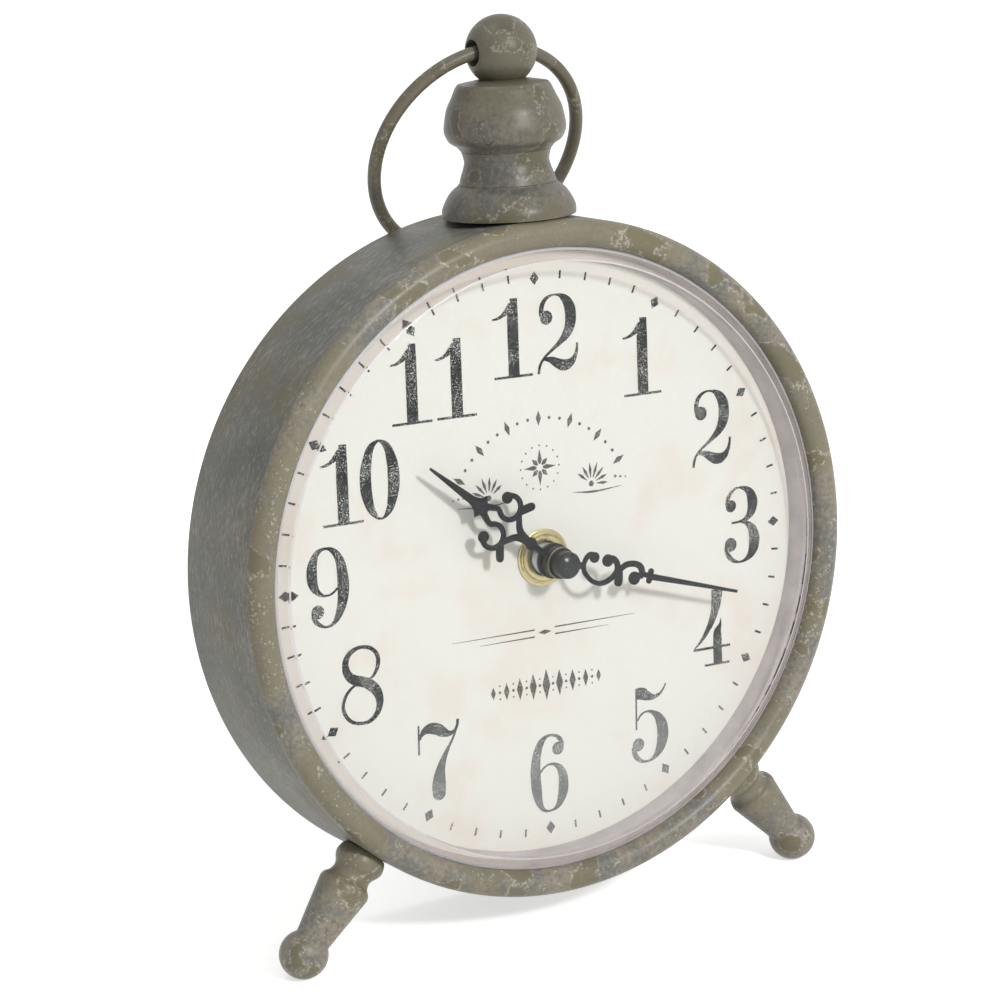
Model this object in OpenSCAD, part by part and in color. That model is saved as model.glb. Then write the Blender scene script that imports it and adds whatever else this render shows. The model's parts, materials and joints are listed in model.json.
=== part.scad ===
// Table clock in millimetres. A rolled sheet drum leans back on two turned feet
// and a rear strut, under a turned finial with a hanging ring. A domed glass
// covers a paper dial, pierced hands and a battery movement.
// The clock stands on z = 0 and faces -y. Inside in_case() the y axis runs
// through the middle of the dial to the back, and y = 0 is the bead's plane.

/* [Case] */
// Outer radius of the drum
case_r = 86; // [85:0.5:90]
// Depth of the drum behind the bead's plane
case_depth = 33; // [33:0.5:38]
// Thickness of the drum's sheet
sheet_t = 0.8; // [0.6:0.1:1]
// Radius of the rolled bead at the front
bead_r = 3.5; // [3.2:0.1:3.6]
// Lean of the case to the back, in degrees
lean = 5.8; // [4:0.1:8]

/* [Glass] */
// Gap between the closed nut of the hands and the middle of the glass
glass_room = 1; // [0.6:0.1:2.8]
// Thickness of the glass
glass_t = 2.2; // [1.8:0.1:2.4]
// Width of the ground bevel, which starts at the corner of the dome
bevel_w = 3.25; // [3:0.05:4.8]
// How far that corner stands in front of the bead's plane
glass_corner_front = 2.4; // [2:0.1:3]
// Thickness of the glass at its edge
glass_edge_t = 1.2; // [1:0.1:1.4]

/* [Dial] */
// Distance of the dial's face behind the bead's plane
dial_depth = 7; // [6.5:0.1:7.5]
// How far the wall of the spacer ring, which frames the dial, stands inside the drum's lip
spacer_inset = 3.3; // [3:0.1:4]
// Gap between the edge of the steel dial plate and the studs of the feet
plate_gap = 1.04; // [0.6:0.02:1.4]
// Thickness of the dial plate
plate_t = 1.2; // [1:0.1:1.5]
// Thickness of the dial's paper
paper_t = 0.3; // [0.2:0.05:0.4]
// Thickness of the rubber gasket between plate and movement
gasket_t = 1; // [0.8:0.1:1.2]
// Radius of the round brass washer on the dial
washer_r = 7.3; // [6.8:0.1:8]
// Radius of the round brass nut on the washer
dial_nut_r = 6.1; // [5.6:0.1:6.4]

/* [Hands] */
// Length of the minute hand
minute_len = 54.7; // [48:0.1:60]
// Length of the hour hand
hour_len = 44.2; // [38:0.1:48]
// Thickness of both hands
hand_t = 0.4; // [0.3:0.05:0.5]
// Radius of the hour hand's collet
hour_collet_r = 4.5; // [4.2:0.1:5]
// Radius of the minute hand's collet
minute_collet_r = 4; // [3.6:0.1:4.2]
// Length of the hour hand's collet
hour_collet_t = 1.2; // [1:0.1:1.4]
// Length of the minute hand's collet
minute_collet_t = 2.9; // [2.6:0.1:3.1]
// Gap between the bush and the hour hand's collet
bush_gap = 0.2; // [0.15:0.05:0.4]
// Gap between the collets of the two hands
collet_gap = 0.5; // [0.3:0.05:0.8]
// Radius of the closed nut on the minute hand
cap_r = 3.4; // [3:0.1:3.6]
// Length of the closed nut
cap_len = 4.8; // [4.4:0.1:5]
// Hour that the hands show
shown_hour = 10; // [1:1:12]
// Angle of the minute hand past twelve, in degrees
minute_hand_angle = 105.6; // [0:1.2:358.8]
// Turn of the printed dial in its case, in degrees
dial_angle = 1.3; // [0:0.1:2]

/* [Finial] */
// Distance of the finial's axis behind the bead's plane
finial_depth = 14.3; // [14:0.1:16]
// Largest radius of the finial's foot
finial_foot_r = 16.7; // [15:0.1:17.5]
// Height of the finial's foot
finial_foot_h = 8.1; // [7:0.1:9]
// Largest radius of the finial's waist
finial_waist_r = 12.1; // [11:0.1:13]
// Height of the finial's waist
finial_waist_h = 8.2; // [7:0.1:9]
// Largest radius of the finial's bulb
finial_bulb_r = 15.2; // [14:0.1:16]
// Height of the finial's bulb
finial_bulb_h = 17.5; // [17:0.1:19]
// Radius of the pierced ball on top
ball_r = 8.93; // [8.6:0.01:9.4]
// Height of the ball's middle above the bulb
ball_lift = 6.85; // [6.7:0.05:7]
// Radius of the hole through the ball
ball_hole_r = 3.2; // [3:0.1:3.4]
// Radius of the threaded rod through the finial
rod_r = 2; // [1.5:0.1:2.2]

/* [Ring] */
// Radius of the hanging ring to the middle of its wire
ring_r = 28.7; // [28:0.1:31]
// Radius of the ring's wire
wire_r = 1.7; // [1.4:0.1:1.8]
// Height of the wire's middle in the ball's hole, above the hole's middle
ring_lift = 0.6; // [0.5:0.05:0.7]
// Sideways lean of the hanging ring, in degrees
ring_swing = 3; // [0:0.5:4]

/* [Feet] */
// Gap between the spacer ring's front flange and the nuts of the feet
foot_nut_gap = 0.76; // [0.5:0.02:2.5]
// Angle of each foot from straight down, in degrees
foot_angle = 39.7; // [36:0.1:42]
// Length of a foot from the drum to the middle of its ball
foot_len = 29.4; // [26:0.1:32]
// Radius of a foot's ball
foot_ball_r = 6.17; // [5.8:0.01:6.6]
// Largest radius of a foot's shank
foot_shank_r = 6.75; // [6.3:0.05:7]
// Radius of a foot's threaded stud
stud_r = 2; // [1.6:0.1:2.2]

/* [Movement] */
// Width and height of the movement
movement_w = 56; // [56:0.5:58]
// Depth of the movement
movement_d = 16; // [16:0.1:16.6]
// Wall of the movement's housing
housing_wall = 1.4; // [1.2:0.1:1.5]
// Radius of the movement's threaded bush
bush_r = 4; // [3.9:0.05:4.1]
// Height of the bush above the dial
bush_front = 4.4; // [4:0.1:4.5]
// Radius of the setting knob
knob_r = 7; // [6:0.1:7.5]
// Thickness of the setting knob
knob_t = 2.5; // [2:0.1:3]
// Radius of the battery
battery_r = 7.1; // [6.8:0.05:7.15]
// Length of the battery without its button
battery_len = 49; // [48:0.1:49.2]

/* [Gears] */
// Module of the hands' gears
motion_module = 0.45; // [0.44:0.002:0.456]
// Module of the third wheel and the seconds pinion
third_module = 0.25; // [0.245:0.001:0.255]
// Module of the seconds wheel and the pinion that drives it
second_module = 0.382; // [0.376:0.001:0.388]
// Module of the intermediate wheel and the rotor's pinion
rotor_module = 0.3; // [0.29:0.002:0.304]

/* [Back] */
// Distance of the cover's sheet in front of the drum's back edge
cover_inset = 2; // [1.8:0.1:2.4]
// Width and height of the opening in the cover
opening_w = 60; // [59:0.5:62]
// Height of the cover's turned rim
rim_h = 1.8; // [1.4:0.1:1.8]
// Width of the brackets that carry the cover
bracket_w = 12; // [10:0.5:13]

/* [Strut] */
// Angle of the open strut from the plumb line, in degrees
strut_angle = 20; // [16:0.5:24]
// Height of the strut's pin below the middle of the dial
strut_drop = 38; // [38:0.5:42]
// Width of the strut at its hinge
strut_top_w = 26; // [22:0.5:28]
// Width of the strut at its foot
strut_foot_w = 18; // [14:0.5:22]
// Thickness of the strut
strut_t = 1.5; // [1.2:0.1:1.8]
// Radius of the strut's pin
pin_r = 1.5; // [1.2:0.1:1.7]

/* [Hidden] */

$fn = 72;
// Segments of the large circles that shape the glass
dome_fn = 720;
// Overrun of every cut
over = 1;
// Radial clearance of shafts, threads and pieces that slide on
fit_gap = 0.06;
// Clearance of pieces that lie side by side
side_gap = 0.3;
// Clearance at a stop
stop_gap = 0.15;

// Colours of the materials
patina = "#74716a";
bright_steel = "#a3a5a7";
dark_plastic = "#262628";
pale_plastic = "#e6e2d6";
brass = "#c8b07a";
black = "#1b1b1d";

// A flat outline, seen from the front, from y to y + t
module layer(y, t) {
    translate([0, y + t, 0]) rotate([90, 0, 0]) linear_extrude(t) children();
}

// A profile of radius and y, turned about the middle of the dial
module turned() {
    rotate([-90, 0, 0]) rotate_extrude() children();
}

// A round bar along y from y to y + t, with its middle at x and z
module peg(at, y, t, r) {
    translate([at[0], y, at[1]]) rotate([-90, 0, 0]) cylinder(h = t, r = r);
}

// A bar along x, centred
module cross_bar(w, r) {
    rotate([0, 90, 0]) cylinder(h = w, r = r, center = true);
}

// A plate round the middle of the dial, with a bore
module disc(y, t, r, bore) {
    difference() {
        peg([0, 0], y, t, r);
        peg([0, 0], y - over, t + 2*over, bore);
    }
}

// A hexagon nut along z, of this width across its flats
module hex_nut(w, h, bore) {
    difference() {
        cylinder(h = h, r = w/2/cos(30), $fn = 6);
        translate([0, 0, -over]) cylinder(h = h + 2*over, r = bore);
    }
}

module rounded(w, h, r) {
    square([w - 2*r, h], center = true);
    square([w, h - 2*r], center = true);
    for (x = [-1, 1], y = [-1, 1]) translate([x*(w/2 - r), y*(h/2 - r)]) circle(r);
}

function polar(r, a) = [r*cos(a), r*sin(a)];
function sized(shares, r, h) = [for (s = shares) [s[0]*r, s[1]*h]];

// A Catmull-Rom curve through points, with this many steps in each span
function span_point(a, b, c, d, t) =
    (2*b + (c - a)*t + (2*a - 5*b + 4*c - d)*pow(t, 2) + (3*b - a - 3*c + d)*pow(t, 3))/2;
function smooth(points, steps) = concat(
    [for (i = [0:len(points) - 2], k = [0:steps - 1])
        span_point(points[max(i - 1, 0)], points[i], points[i + 1],
            points[min(i + 2, len(points) - 1)], k/steps)],
    [points[len(points) - 1]]);

// A band along points of x, y and half its width
function beside(points, i, side) = let (
    d = points[min(i + 1, len(points) - 1)] - points[max(i - 1, 0)],
    l = norm([d[0], d[1]]), p = points[i])
    [p[0] - side*d[1]/l*p[2], p[1] + side*d[0]/l*p[2]];
module band(points) {
    last = len(points) - 1;
    polygon(concat([for (i = [0:last]) beside(points, i, 1)],
        [for (i = [last:-1:0]) beside(points, i, -1)]));
}
module blob(p) {
    translate([p[0], p[1]]) circle(p[2]);
}

// The drum's lip and inside, and the back of the glass's edge, on which the spacer ring lies
lip_t = 0.4;
lip_r = case_r - 2*bead_r;
drum_inner_r = case_r - sheet_t;
glass_back = lip_t + glass_edge_t;
// Distance from the axis of a flat face this wide that seats on the inside of the drum
function inner_seat(w) = sqrt(pow(drum_inner_r, 2) - pow(w/2, 2)) - fit_gap;

// The nuts of the feet, behind the spacer ring's flange, and their studs
foot_nut_w = 7;
foot_nut_h = 3.2;
stud_end = 0.4;
foot_nut_at = inner_seat(foot_nut_w/cos(30)) - foot_nut_h;
foot_depth = glass_back + sheet_t + foot_nut_w/2/cos(30) + foot_nut_gap;

// Height of the dial's middle above the floor, with both feet down
foot_reach = case_r + foot_len;
floor_h = foot_ball_r + foot_depth*sin(lean) + foot_reach*cos(foot_angle)*cos(lean);

// The strut's pin, and the strut's length down to the floor
cover_y = case_depth - cover_inset;
cover_back = cover_y + sheet_t;
ear_t = 1.2;
strut_eye_r = pin_r + 1.1*sheet_t;
pin_y = cover_back + ear_t + strut_eye_r + side_gap;
pin_h = floor_h - pin_y*sin(lean) - strut_drop*cos(lean);
strut_foot_r = strut_t;
strut_len = (pin_h - strut_foot_r)/cos(strut_angle);
strut_open = strut_angle + lean;

// The hands, from the bush to the closed nut
bush_y = dial_depth - bush_front;
hour_y = bush_y - bush_gap - hour_collet_t;
minute_y = hour_y - collet_gap - minute_collet_t;
cap_end = minute_y - cap_len;

// The dome of the glass, and the origin below the middle of the clock's depth
glass_rise = glass_room + glass_t - cap_end;
bevel_end_r = lip_r - side_gap/2;
glass_corner_r = bevel_end_r - bevel_w;
dome_rise = glass_rise - glass_corner_front;
dome_r = (pow(glass_corner_r, 2) + pow(dome_rise, 2))/(2*dome_rise);
dome_y = dome_r - glass_rise;
front_reach = min(dome_y*cos(lean) - dome_r, -(case_r - bead_r)*sin(lean) - bead_r);
back_reach = pin_y*cos(lean) - strut_drop*sin(lean) + strut_len*sin(strut_angle) + strut_foot_r;
origin_y = (front_reach + back_reach)/2;

module in_case() {
    translate([0, -origin_y, floor_h]) rotate([-lean, 0, 0]) children();
}

// Case
module case_drum() {
    color(patina) in_case() difference() {
        turned() {
            translate([drum_inner_r, 0]) square([sheet_t, case_depth]);
            translate([lip_r, 0]) square([sheet_t, lip_t]);
            difference() {
                translate([case_r - bead_r, 0]) circle(bead_r);
                translate([case_r - bead_r, 0]) circle(bead_r - sheet_t);
                translate([lip_r - over, 0]) square([2*(bead_r + over), bead_r + over]);
            }
        }
        translate([0, finial_depth, 0]) cylinder(h = case_r + over, r = rod_r + side_gap);
        for (side = [-1, 1]) foot_place(side) cylinder(h = case_r + over, r = stud_r + side_gap);
    }
}

// Glass: a dome with a ground bevel and a flat edge behind the drum's lip
glass_edge_gap = 0.5;
glass_r = drum_inner_r - glass_edge_gap;
bevel_slope = (glass_corner_front + lip_t)/bevel_w;
inner_corner_y = dome_y - sqrt(pow(dome_r - glass_t, 2) - pow(glass_corner_r, 2));

module glass() {
    color("#e9f0ee", 0.35) in_case() turned() difference() {
        intersection() {
            translate([0, dome_y]) circle(dome_r, $fn = dome_fn);
            polygon([[0, glass_back], [0, -2*glass_rise], [glass_corner_r, -2*glass_rise],
                [glass_corner_r, -glass_corner_front], [bevel_end_r, lip_t],
                [glass_r, lip_t], [glass_r, glass_back]]);
        }
        intersection() {
            translate([0, dome_y]) circle(dome_r - glass_t, $fn = dome_fn);
            polygon([[0, glass_back + over], [0, -glass_rise], [glass_corner_r, -glass_rise],
                [glass_corner_r, inner_corner_y],
                [glass_corner_r + (glass_back + over - inner_corner_y)/bevel_slope, glass_back + over]]);
        }
    }
}

// Spacer ring: its front flange holds the glass, its rear flange carries the dial
spacer_r = lip_r - spacer_inset;
spacer_outer_r = spacer_r + sheet_t;
spacer_front = inner_corner_y + bevel_slope*(spacer_outer_r - glass_corner_r) + side_gap;
dial_screw_r = 0.9;
dial_screw_head_r = 1.7;
dial_screw_head_t = 1.2;
dial_screw_inset = 1.8;
plate_r = foot_nut_at - stud_end - plate_gap;
plate_y = dial_depth + paper_t;
plate_back = plate_y + plate_t;

module dial_screw_pegs(y, t, r) {
    for (a = [45:90:315]) peg(polar(plate_r - dial_screw_inset, a), y, t, r);
}

module spacer_ring() {
    color("#8f8583") in_case() difference() {
        turned() {
            translate([spacer_r, spacer_front]) square([sheet_t, dial_depth - spacer_front]);
            translate([spacer_r, glass_back]) square([glass_r - spacer_r, sheet_t]);
            translate([spacer_r, dial_depth - sheet_t]) square([plate_r - spacer_r, sheet_t]);
        }
        dial_screw_pegs(0, dial_depth + over, dial_screw_r + fit_gap);
    }
}

// Dial: paper on a steel plate, screwed to the spacer ring from behind
module dial_face() {
    color("#e9e5d8") in_case() difference() {
        disc(dial_depth, paper_t, plate_r - side_gap, bush_r + side_gap);
        dial_screw_pegs(0, plate_back, dial_screw_r + fit_gap);
    }
}

module dial_plate() {
    color(bright_steel) in_case() difference() {
        disc(plate_y, plate_t, plate_r, bush_r + fit_gap);
        dial_screw_pegs(0, plate_back + over, dial_screw_r + fit_gap);
    }
}

module dial_screws() {
    color(bright_steel) in_case() {
        dial_screw_pegs(plate_back, dial_screw_head_t, dial_screw_head_r);
        dial_screw_pegs(dial_depth - sheet_t, plate_back + dial_screw_head_t/2 - dial_depth + sheet_t,
            dial_screw_r);
    }
}

gasket_r = 8;
movement_y = plate_back + gasket_t;
module gasket() {
    color(black) in_case() disc(plate_back, gasket_t, gasket_r, bush_r + fit_gap);
}

// Washer and round nut that clamp the movement to the dial
washer_t = 0.5;
dial_nut_t = 1.1;
module dial_washer() {
    color(brass) in_case() disc(dial_depth - washer_t, washer_t, washer_r, bush_r + fit_gap);
}

module dial_nut() {
    color(brass) in_case()
        disc(dial_depth - washer_t - dial_nut_t, dial_nut_t, dial_nut_r, bush_r + fit_gap);
}

// Shafts in the centre, from the bush inwards
bush_bore_r = 3;
hour_tube_r = bush_bore_r - fit_gap;
hour_bore_r = 1.9;
cannon_r = hour_bore_r - fit_gap;
arbor_r = 0.5;
hour_hand_angle = 30*shown_hour + minute_hand_angle/12;

// Hour hand: half of its outline as shares of its length, each with half its width
hour_neck_shares = [[0, 0.05, 0.018], [0, 0.18, 0.017]];
hour_knob_share = [0, 0.19, 0.037];
hour_arm_shares = [[0, 0.22, 0.024], [0.012, 0.275, 0.022], [0.032, 0.309, 0.019],
    [0.066, 0.337, 0.017], [0.094, 0.357, 0.016]];
hour_ring_share = [0.094, 0.431, 0.069];
hour_ring_width_share = 0.0155;
hour_blob_share = [0.13, 0.48, 0.034];
hour_lobe_shares = [[0.1, 0.362, 0.018], [0.14, 0.34, 0.024], [0.172, 0.315, 0.023]];
hour_leg_shares = [[0.05, 0.482, 0.015], [0.041, 0.515, 0.017], [0.02, 0.562, 0.021]];
hour_body_shares = [[0, 0.54], [0.028, 0.566]];
hour_flank_shares = [[0.07, 0.597], [0.041, 0.624], [0.026, 0.665], [0.023, 0.71]];
hour_tip_shares = [[0.007, 1], [0, 1]];

module hour_half() {
    ring = [for (a = [130:10:410]) [hour_ring_share[0] + hour_ring_share[2]*cos(a),
        hour_ring_share[1] + hour_ring_share[2]*sin(a), hour_ring_width_share]];
    band(hour_len*smooth(hour_arm_shares, 4));
    band(hour_len*ring);
    blob(hour_len*hour_blob_share);
    band(hour_len*smooth(hour_lobe_shares, 3));
    blob(hour_len*hour_lobe_shares[2]);
    band(hour_len*smooth(hour_leg_shares, 3));
    polygon(hour_len*concat(hour_body_shares, smooth(hour_flank_shares, 4), hour_tip_shares));
}

module hour_hand() {
    color(black) in_case() difference() {
        union() {
            layer(hour_y, hand_t) rotate(-hour_hand_angle - dial_angle) {
                band(hour_len*hour_neck_shares);
                blob(hour_len*hour_knob_share);
                hour_half();
                mirror([1, 0]) hour_half();
            }
            peg([0, 0], hour_y, hour_collet_t, hour_collet_r);
        }
        peg([0, 0], hour_y - over, hour_collet_t + 2*over, hour_tube_r);
    }
}

// Minute hand: two open scrolls that form an S, in shares of its length
minute_neck_shares = [[0, 0.05, 0.022], [-0.005, 0.122, 0.014]];
first_scroll_shares = [[-0.048, 0.17, 0.012], [-0.062, 0.152, 0.013], [-0.044, 0.13, 0.012],
    [-0.005, 0.122, 0.011], [0.029, 0.139, 0.011], [0.06, 0.188, 0.011], [0.062, 0.238, 0.012],
    [0.035, 0.283, 0.013], [-0.004, 0.308, 0.014], [-0.04, 0.3, 0.0145], [-0.059, 0.272, 0.0145],
    [-0.051, 0.249, 0.0145]];
first_blob_shares = [[-0.05, 0.172, 0.025], [-0.046, 0.247, 0.029]];
second_scroll_shares = [[-0.006, 0.315, 0.013], [-0.022, 0.331, 0.014], [-0.042, 0.355, 0.014],
    [-0.051, 0.395, 0.0145], [-0.044, 0.428, 0.0155], [-0.02, 0.446, 0.0155], [0.008, 0.438, 0.016]];
second_blob_share = [0.015, 0.411, 0.031];
minute_lobe_shares = [[-0.006, 0.32, 0.018], [0.02, 0.325, 0.02], [0.044, 0.328, 0.021]];
minute_link_shares = [[-0.01, 0.444, 0.013], [-0.006, 0.51, 0.012]];
minute_collar_shares = [[-0.029, 0.495, 0.014], [0.016, 0.494, 0.014]];
minute_blade_shares = [[-0.019, 0.503], [0.011, 0.503], [0.007, 1], [-0.007, 1]];

module minute_hand() {
    color(black) in_case() difference() {
        union() {
            layer(minute_y, hand_t) rotate(-minute_hand_angle - dial_angle) {
                band(minute_len*minute_neck_shares);
                band(minute_len*smooth(first_scroll_shares, 4));
                for (share = first_blob_shares) blob(minute_len*share);
                band(minute_len*smooth(second_scroll_shares, 4));
                blob(minute_len*second_blob_share);
                band(minute_len*smooth(minute_lobe_shares, 3));
                blob(minute_len*minute_lobe_shares[2]);
                band(minute_len*minute_link_shares);
                band(minute_len*minute_collar_shares);
                for (share = minute_collar_shares) blob(minute_len*share);
                polygon(minute_len*minute_blade_shares);
            }
            peg([0, 0], minute_y, minute_collet_t, minute_collet_r);
        }
        peg([0, 0], minute_y - over, minute_collet_t + 2*over, cannon_r);
    }
}

// Closed nut with a domed end, screwed on the shaft in front of the minute hand
cap_dome_h = 0.7;
cap_dome_r = (pow(cap_r, 2) + pow(cap_dome_h, 2))/(2*cap_dome_h);
cap_wall = 1;
module cap_nut() {
    color(black) in_case() difference() {
        turned() intersection() {
            translate([0, cap_end + cap_dome_r]) circle(cap_dome_r);
            translate([0, cap_end]) square([cap_r, cap_len]);
        }
        peg([0, 0], cap_end + cap_wall, cap_len, cannon_r + fit_gap);
    }
}

// Finial: four turned pieces on one rod, which a nut holds inside the drum
finial_foot_z = case_r + fit_gap;
finial_waist_z = finial_foot_z + finial_foot_h;
finial_bulb_z = finial_waist_z + finial_waist_h;
ball_z = finial_bulb_z + finial_bulb_h + ball_lift;
finial_foot_shares = [[1, 0.02], [1, 0.23], [0.958, 0.457], [0.868, 0.753], [0.743, 0.975]];
finial_waist_shares = [[1, 0], [0.959, 0.244], [0.909, 0.451], [0.876, 0.659], [0.9, 0.87], [0.93, 1]];
finial_bulb_shares = [[0.74, 0], [0.809, 0.069], [0.908, 0.123], [0.967, 0.194], [1, 0.291],
    [0.987, 0.417], [0.941, 0.6], [0.855, 0.757], [0.789, 0.886]];
finial_neck_share = 0.372;

module finial_piece(z, profile) {
    color(patina) in_case() translate([0, finial_depth, z]) difference() {
        rotate_extrude() polygon(profile);
        translate([0, 0, -over])
            cylinder(h = profile[len(profile) - 1][1] + 2*over, r = rod_r + fit_gap);
    }
}

module finial_foot() {
    finial_piece(finial_foot_z, concat([[0, 0], [finial_foot_r*finial_foot_shares[0][0], 0]],
        sized(smooth(finial_foot_shares, 3), finial_foot_r, finial_foot_h),
        [[finial_foot_r*finial_foot_shares[4][0], finial_foot_h], [0, finial_foot_h]]));
}

module finial_waist() {
    finial_piece(finial_waist_z, concat([[0, 0]],
        sized(smooth(finial_waist_shares, 3), finial_waist_r, finial_waist_h), [[0, finial_waist_h]]));
}

module finial_bulb() {
    finial_piece(finial_bulb_z, concat([[0, 0]],
        sized(smooth(finial_bulb_shares, 4), finial_bulb_r, finial_bulb_h),
        [[finial_neck_share*finial_bulb_r, finial_bulb_h], [0, finial_bulb_h]]));
}

rod_top = ball_z - ball_hole_r - cap_wall;
module finial_ball() {
    color(patina) in_case() translate([0, finial_depth, ball_z]) difference() {
        sphere(ball_r);
        translate([-ball_r, -ball_r, -ball_lift - 2*ball_r]) cube(2*ball_r);
        cross_bar(2*(ball_r + over), ball_hole_r);
        translate([0, 0, -ball_r])
            cylinder(h = rod_top + fit_gap - ball_z + ball_r, r = rod_r + fit_gap);
    }
}

rod_washer_r = 6;
rod_nut_w = 8;
rod_nut_h = 4;
rod_end = 2;
rod_washer_z = inner_seat(2*rod_washer_r) - sheet_t;
rod_nut_z = rod_washer_z - rod_nut_h;
module finial_rod() {
    color(bright_steel) in_case() translate([0, finial_depth, rod_nut_z - rod_end])
        cylinder(h = rod_top - rod_nut_z + rod_end, r = rod_r);
}

module finial_washer() {
    color(bright_steel) in_case() translate([0, finial_depth, rod_washer_z]) difference() {
        cylinder(h = sheet_t, r = rod_washer_r);
        translate([0, 0, -over]) cylinder(h = sheet_t + 2*over, r = rod_r + fit_gap);
    }
}

module finial_nut() {
    color(bright_steel) in_case() translate([0, finial_depth, rod_nut_z])
        hex_nut(rod_nut_w, rod_nut_h, rod_r + fit_gap);
}

// Hanging ring: the lean at which its wire just clears the drum's back edge
function edge_gap(lean_back) = min([for (a = [-120:3:120]) let (
    across = ring_r*sin(a), along = ring_r - ring_lift + ring_r*cos(a),
    side = across*cos(ring_swing) - along*sin(ring_swing),
    down = along*cos(ring_swing) + across*sin(ring_swing))
    norm([norm([side, ball_z - down*cos(lean_back)]) - case_r,
        finial_depth + down*sin(lean_back) - case_depth])]);
function resting_lean(low, high, steps) = steps == 0 ? high : let (middle = (low + high)/2)
    edge_gap(middle) > wire_r + stop_gap
        ? resting_lean(low, middle, steps - 1) : resting_lean(middle, high, steps - 1);
least_lean = 20;
most_lean = 60;
lean_steps = 16;
ring_lean = resting_lean(least_lean, most_lean, lean_steps);

module hanging_ring() {
    color(patina) in_case() translate([0, finial_depth, ball_z]) rotate([ring_lean, 0, 0])
        rotate([0, ring_swing, 0]) translate([0, 0, ring_lift - ring_r]) rotate([90, 0, 0])
        rotate_extrude() translate([ring_r, 0]) circle(wire_r);
}

// Feet: a collar bead, a waist and a tapered shank that ends in a ball. side is -1 or 1
module foot_place(side) {
    translate([0, foot_depth, 0]) rotate([0, 180 - side*foot_angle, 0]) children();
}

foot_neck_shares = [[0.81, 0], [0.9, 0.035], [0.955, 0.095], [0.89, 0.145], [0.78, 0.185],
    [0.74, 0.225], [0.8, 0.272], [0.94, 0.31], [1, 0.35]];
foot_taper_share = 0.67;

module foot(side) {
    taper_r = foot_taper_share*foot_shank_r;
    taper_end = foot_len - sqrt(pow(foot_ball_r, 2) - pow(taper_r, 2));
    color(patina) in_case() foot_place(side) {
        translate([0, 0, case_r + fit_gap]) rotate_extrude() polygon(concat([[0, 0]],
            sized(smooth(foot_neck_shares, 4), foot_shank_r, foot_len),
            [[taper_r, taper_end], [0, taper_end]]));
        translate([0, 0, foot_reach]) sphere(foot_ball_r);
        translate([0, 0, foot_nut_at - stud_end])
            cylinder(h = foot_reach - foot_nut_at, r = stud_r);
    }
}

module left_foot() {
    foot(-1);
}

module right_foot() {
    foot(1);
}

module foot_nuts() {
    color(bright_steel) in_case() for (side = [-1, 1]) foot_place(side)
        translate([0, 0, foot_nut_at]) hex_nut(foot_nut_w, foot_nut_h, stud_r + fit_gap);
}

// Tooth counts: the motion work behind the dial
cannon_teeth = 10;
minute_teeth = 30;
minute_pinion_teeth = 8;
hour_teeth = 32;
setting_teeth = 12;
// Tooth counts: the train from the rotor to the centre wheel
rotor_teeth = 6;
intermediate_teeth = 45;
intermediate_pinion_teeth = 9;
second_teeth = 36;
small_pinion_teeth = 8;
third_teeth = 60;
centre_teeth = 64;
centre_module = third_module*(third_teeth + small_pinion_teeth)/(centre_teeth + small_pinion_teeth);

// Places of the arbors, as x and z
function mesh_distance(a, b, m) = m*(a + b)/2;
minute_at = polar(mesh_distance(cannon_teeth, minute_teeth, motion_module), -20);
setting_at = minute_at + polar(mesh_distance(minute_teeth, setting_teeth, motion_module), 12);
third_at = polar(mesh_distance(third_teeth, small_pinion_teeth, third_module), 170);
intermediate_at = polar(mesh_distance(second_teeth, intermediate_pinion_teeth, second_module), 60);
rotor_at = intermediate_at + polar(mesh_distance(intermediate_teeth, rotor_teeth, rotor_module), 20);

// Layers of the movement, from its front wall to the back
front_d = 6;
rear_wall = 1.6;
motion_t = 1;
plate_layer_t = 1;
train_t = 0.7;
train_space = 1;
inner_y = movement_y + housing_wall;
split_y = movement_y + front_d;
rear_y = movement_y + movement_d - rear_wall;
hour_layer = inner_y + side_gap;
minute_layer = hour_layer + motion_t + side_gap;
minute_back = minute_layer + motion_t;
plate_layer = minute_back + side_gap;
centre_layer = plate_layer + plate_layer_t + side_gap;
third_layer = centre_layer + train_t + train_space;
second_layer = third_layer + train_t + train_space;
intermediate_layer = second_layer + train_t + train_space;
pivot_depth = 0.7;
pivot_y = plate_layer + stop_gap;
arbor_end = rear_y + pivot_depth;

// Gear teeth as shares of the module and of the pitch
addendum_share = 0.75;
dedendum_share = 1.1;
root_share = 0.25;
tip_share = 0.1;

// A gear's outline, with the middle of one tooth at the angle phase
module gear(teeth, m, phase) {
    root = m*(teeth/2 - dedendum_share);
    tip = m*(teeth/2 + addendum_share);
    polygon([for (i = [0:teeth - 1], p = [[root, -root_share], [tip, -tip_share],
        [tip, tip_share], [root, root_share]]) polar(p[0], phase + (i + p[1])*360/teeth)]);
}

// Phase of gear b in mesh with gear a, where the line from a to b has this angle
function mesh_phase(angle, phase_a, a, b) = angle + 180 - (phase_a - angle)*a/b - 180/b;

module gear_layer(at, y, t, teeth, m, phase) {
    translate([at[0], 0, at[1]]) layer(y, t) gear(teeth, m, phase);
}

minute_phase = mesh_phase(-20, 0, cannon_teeth, minute_teeth);
hour_phase = mesh_phase(160, minute_phase, minute_pinion_teeth, hour_teeth);
setting_phase = mesh_phase(12, minute_phase, minute_teeth, setting_teeth);
centre_phase = mesh_phase(-10, 0, small_pinion_teeth, centre_teeth);
third_phase = mesh_phase(170, 0, small_pinion_teeth, third_teeth);
second_phase = mesh_phase(240, 0, intermediate_pinion_teeth, second_teeth);
intermediate_phase = mesh_phase(200, 0, rotor_teeth, intermediate_teeth);

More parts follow.
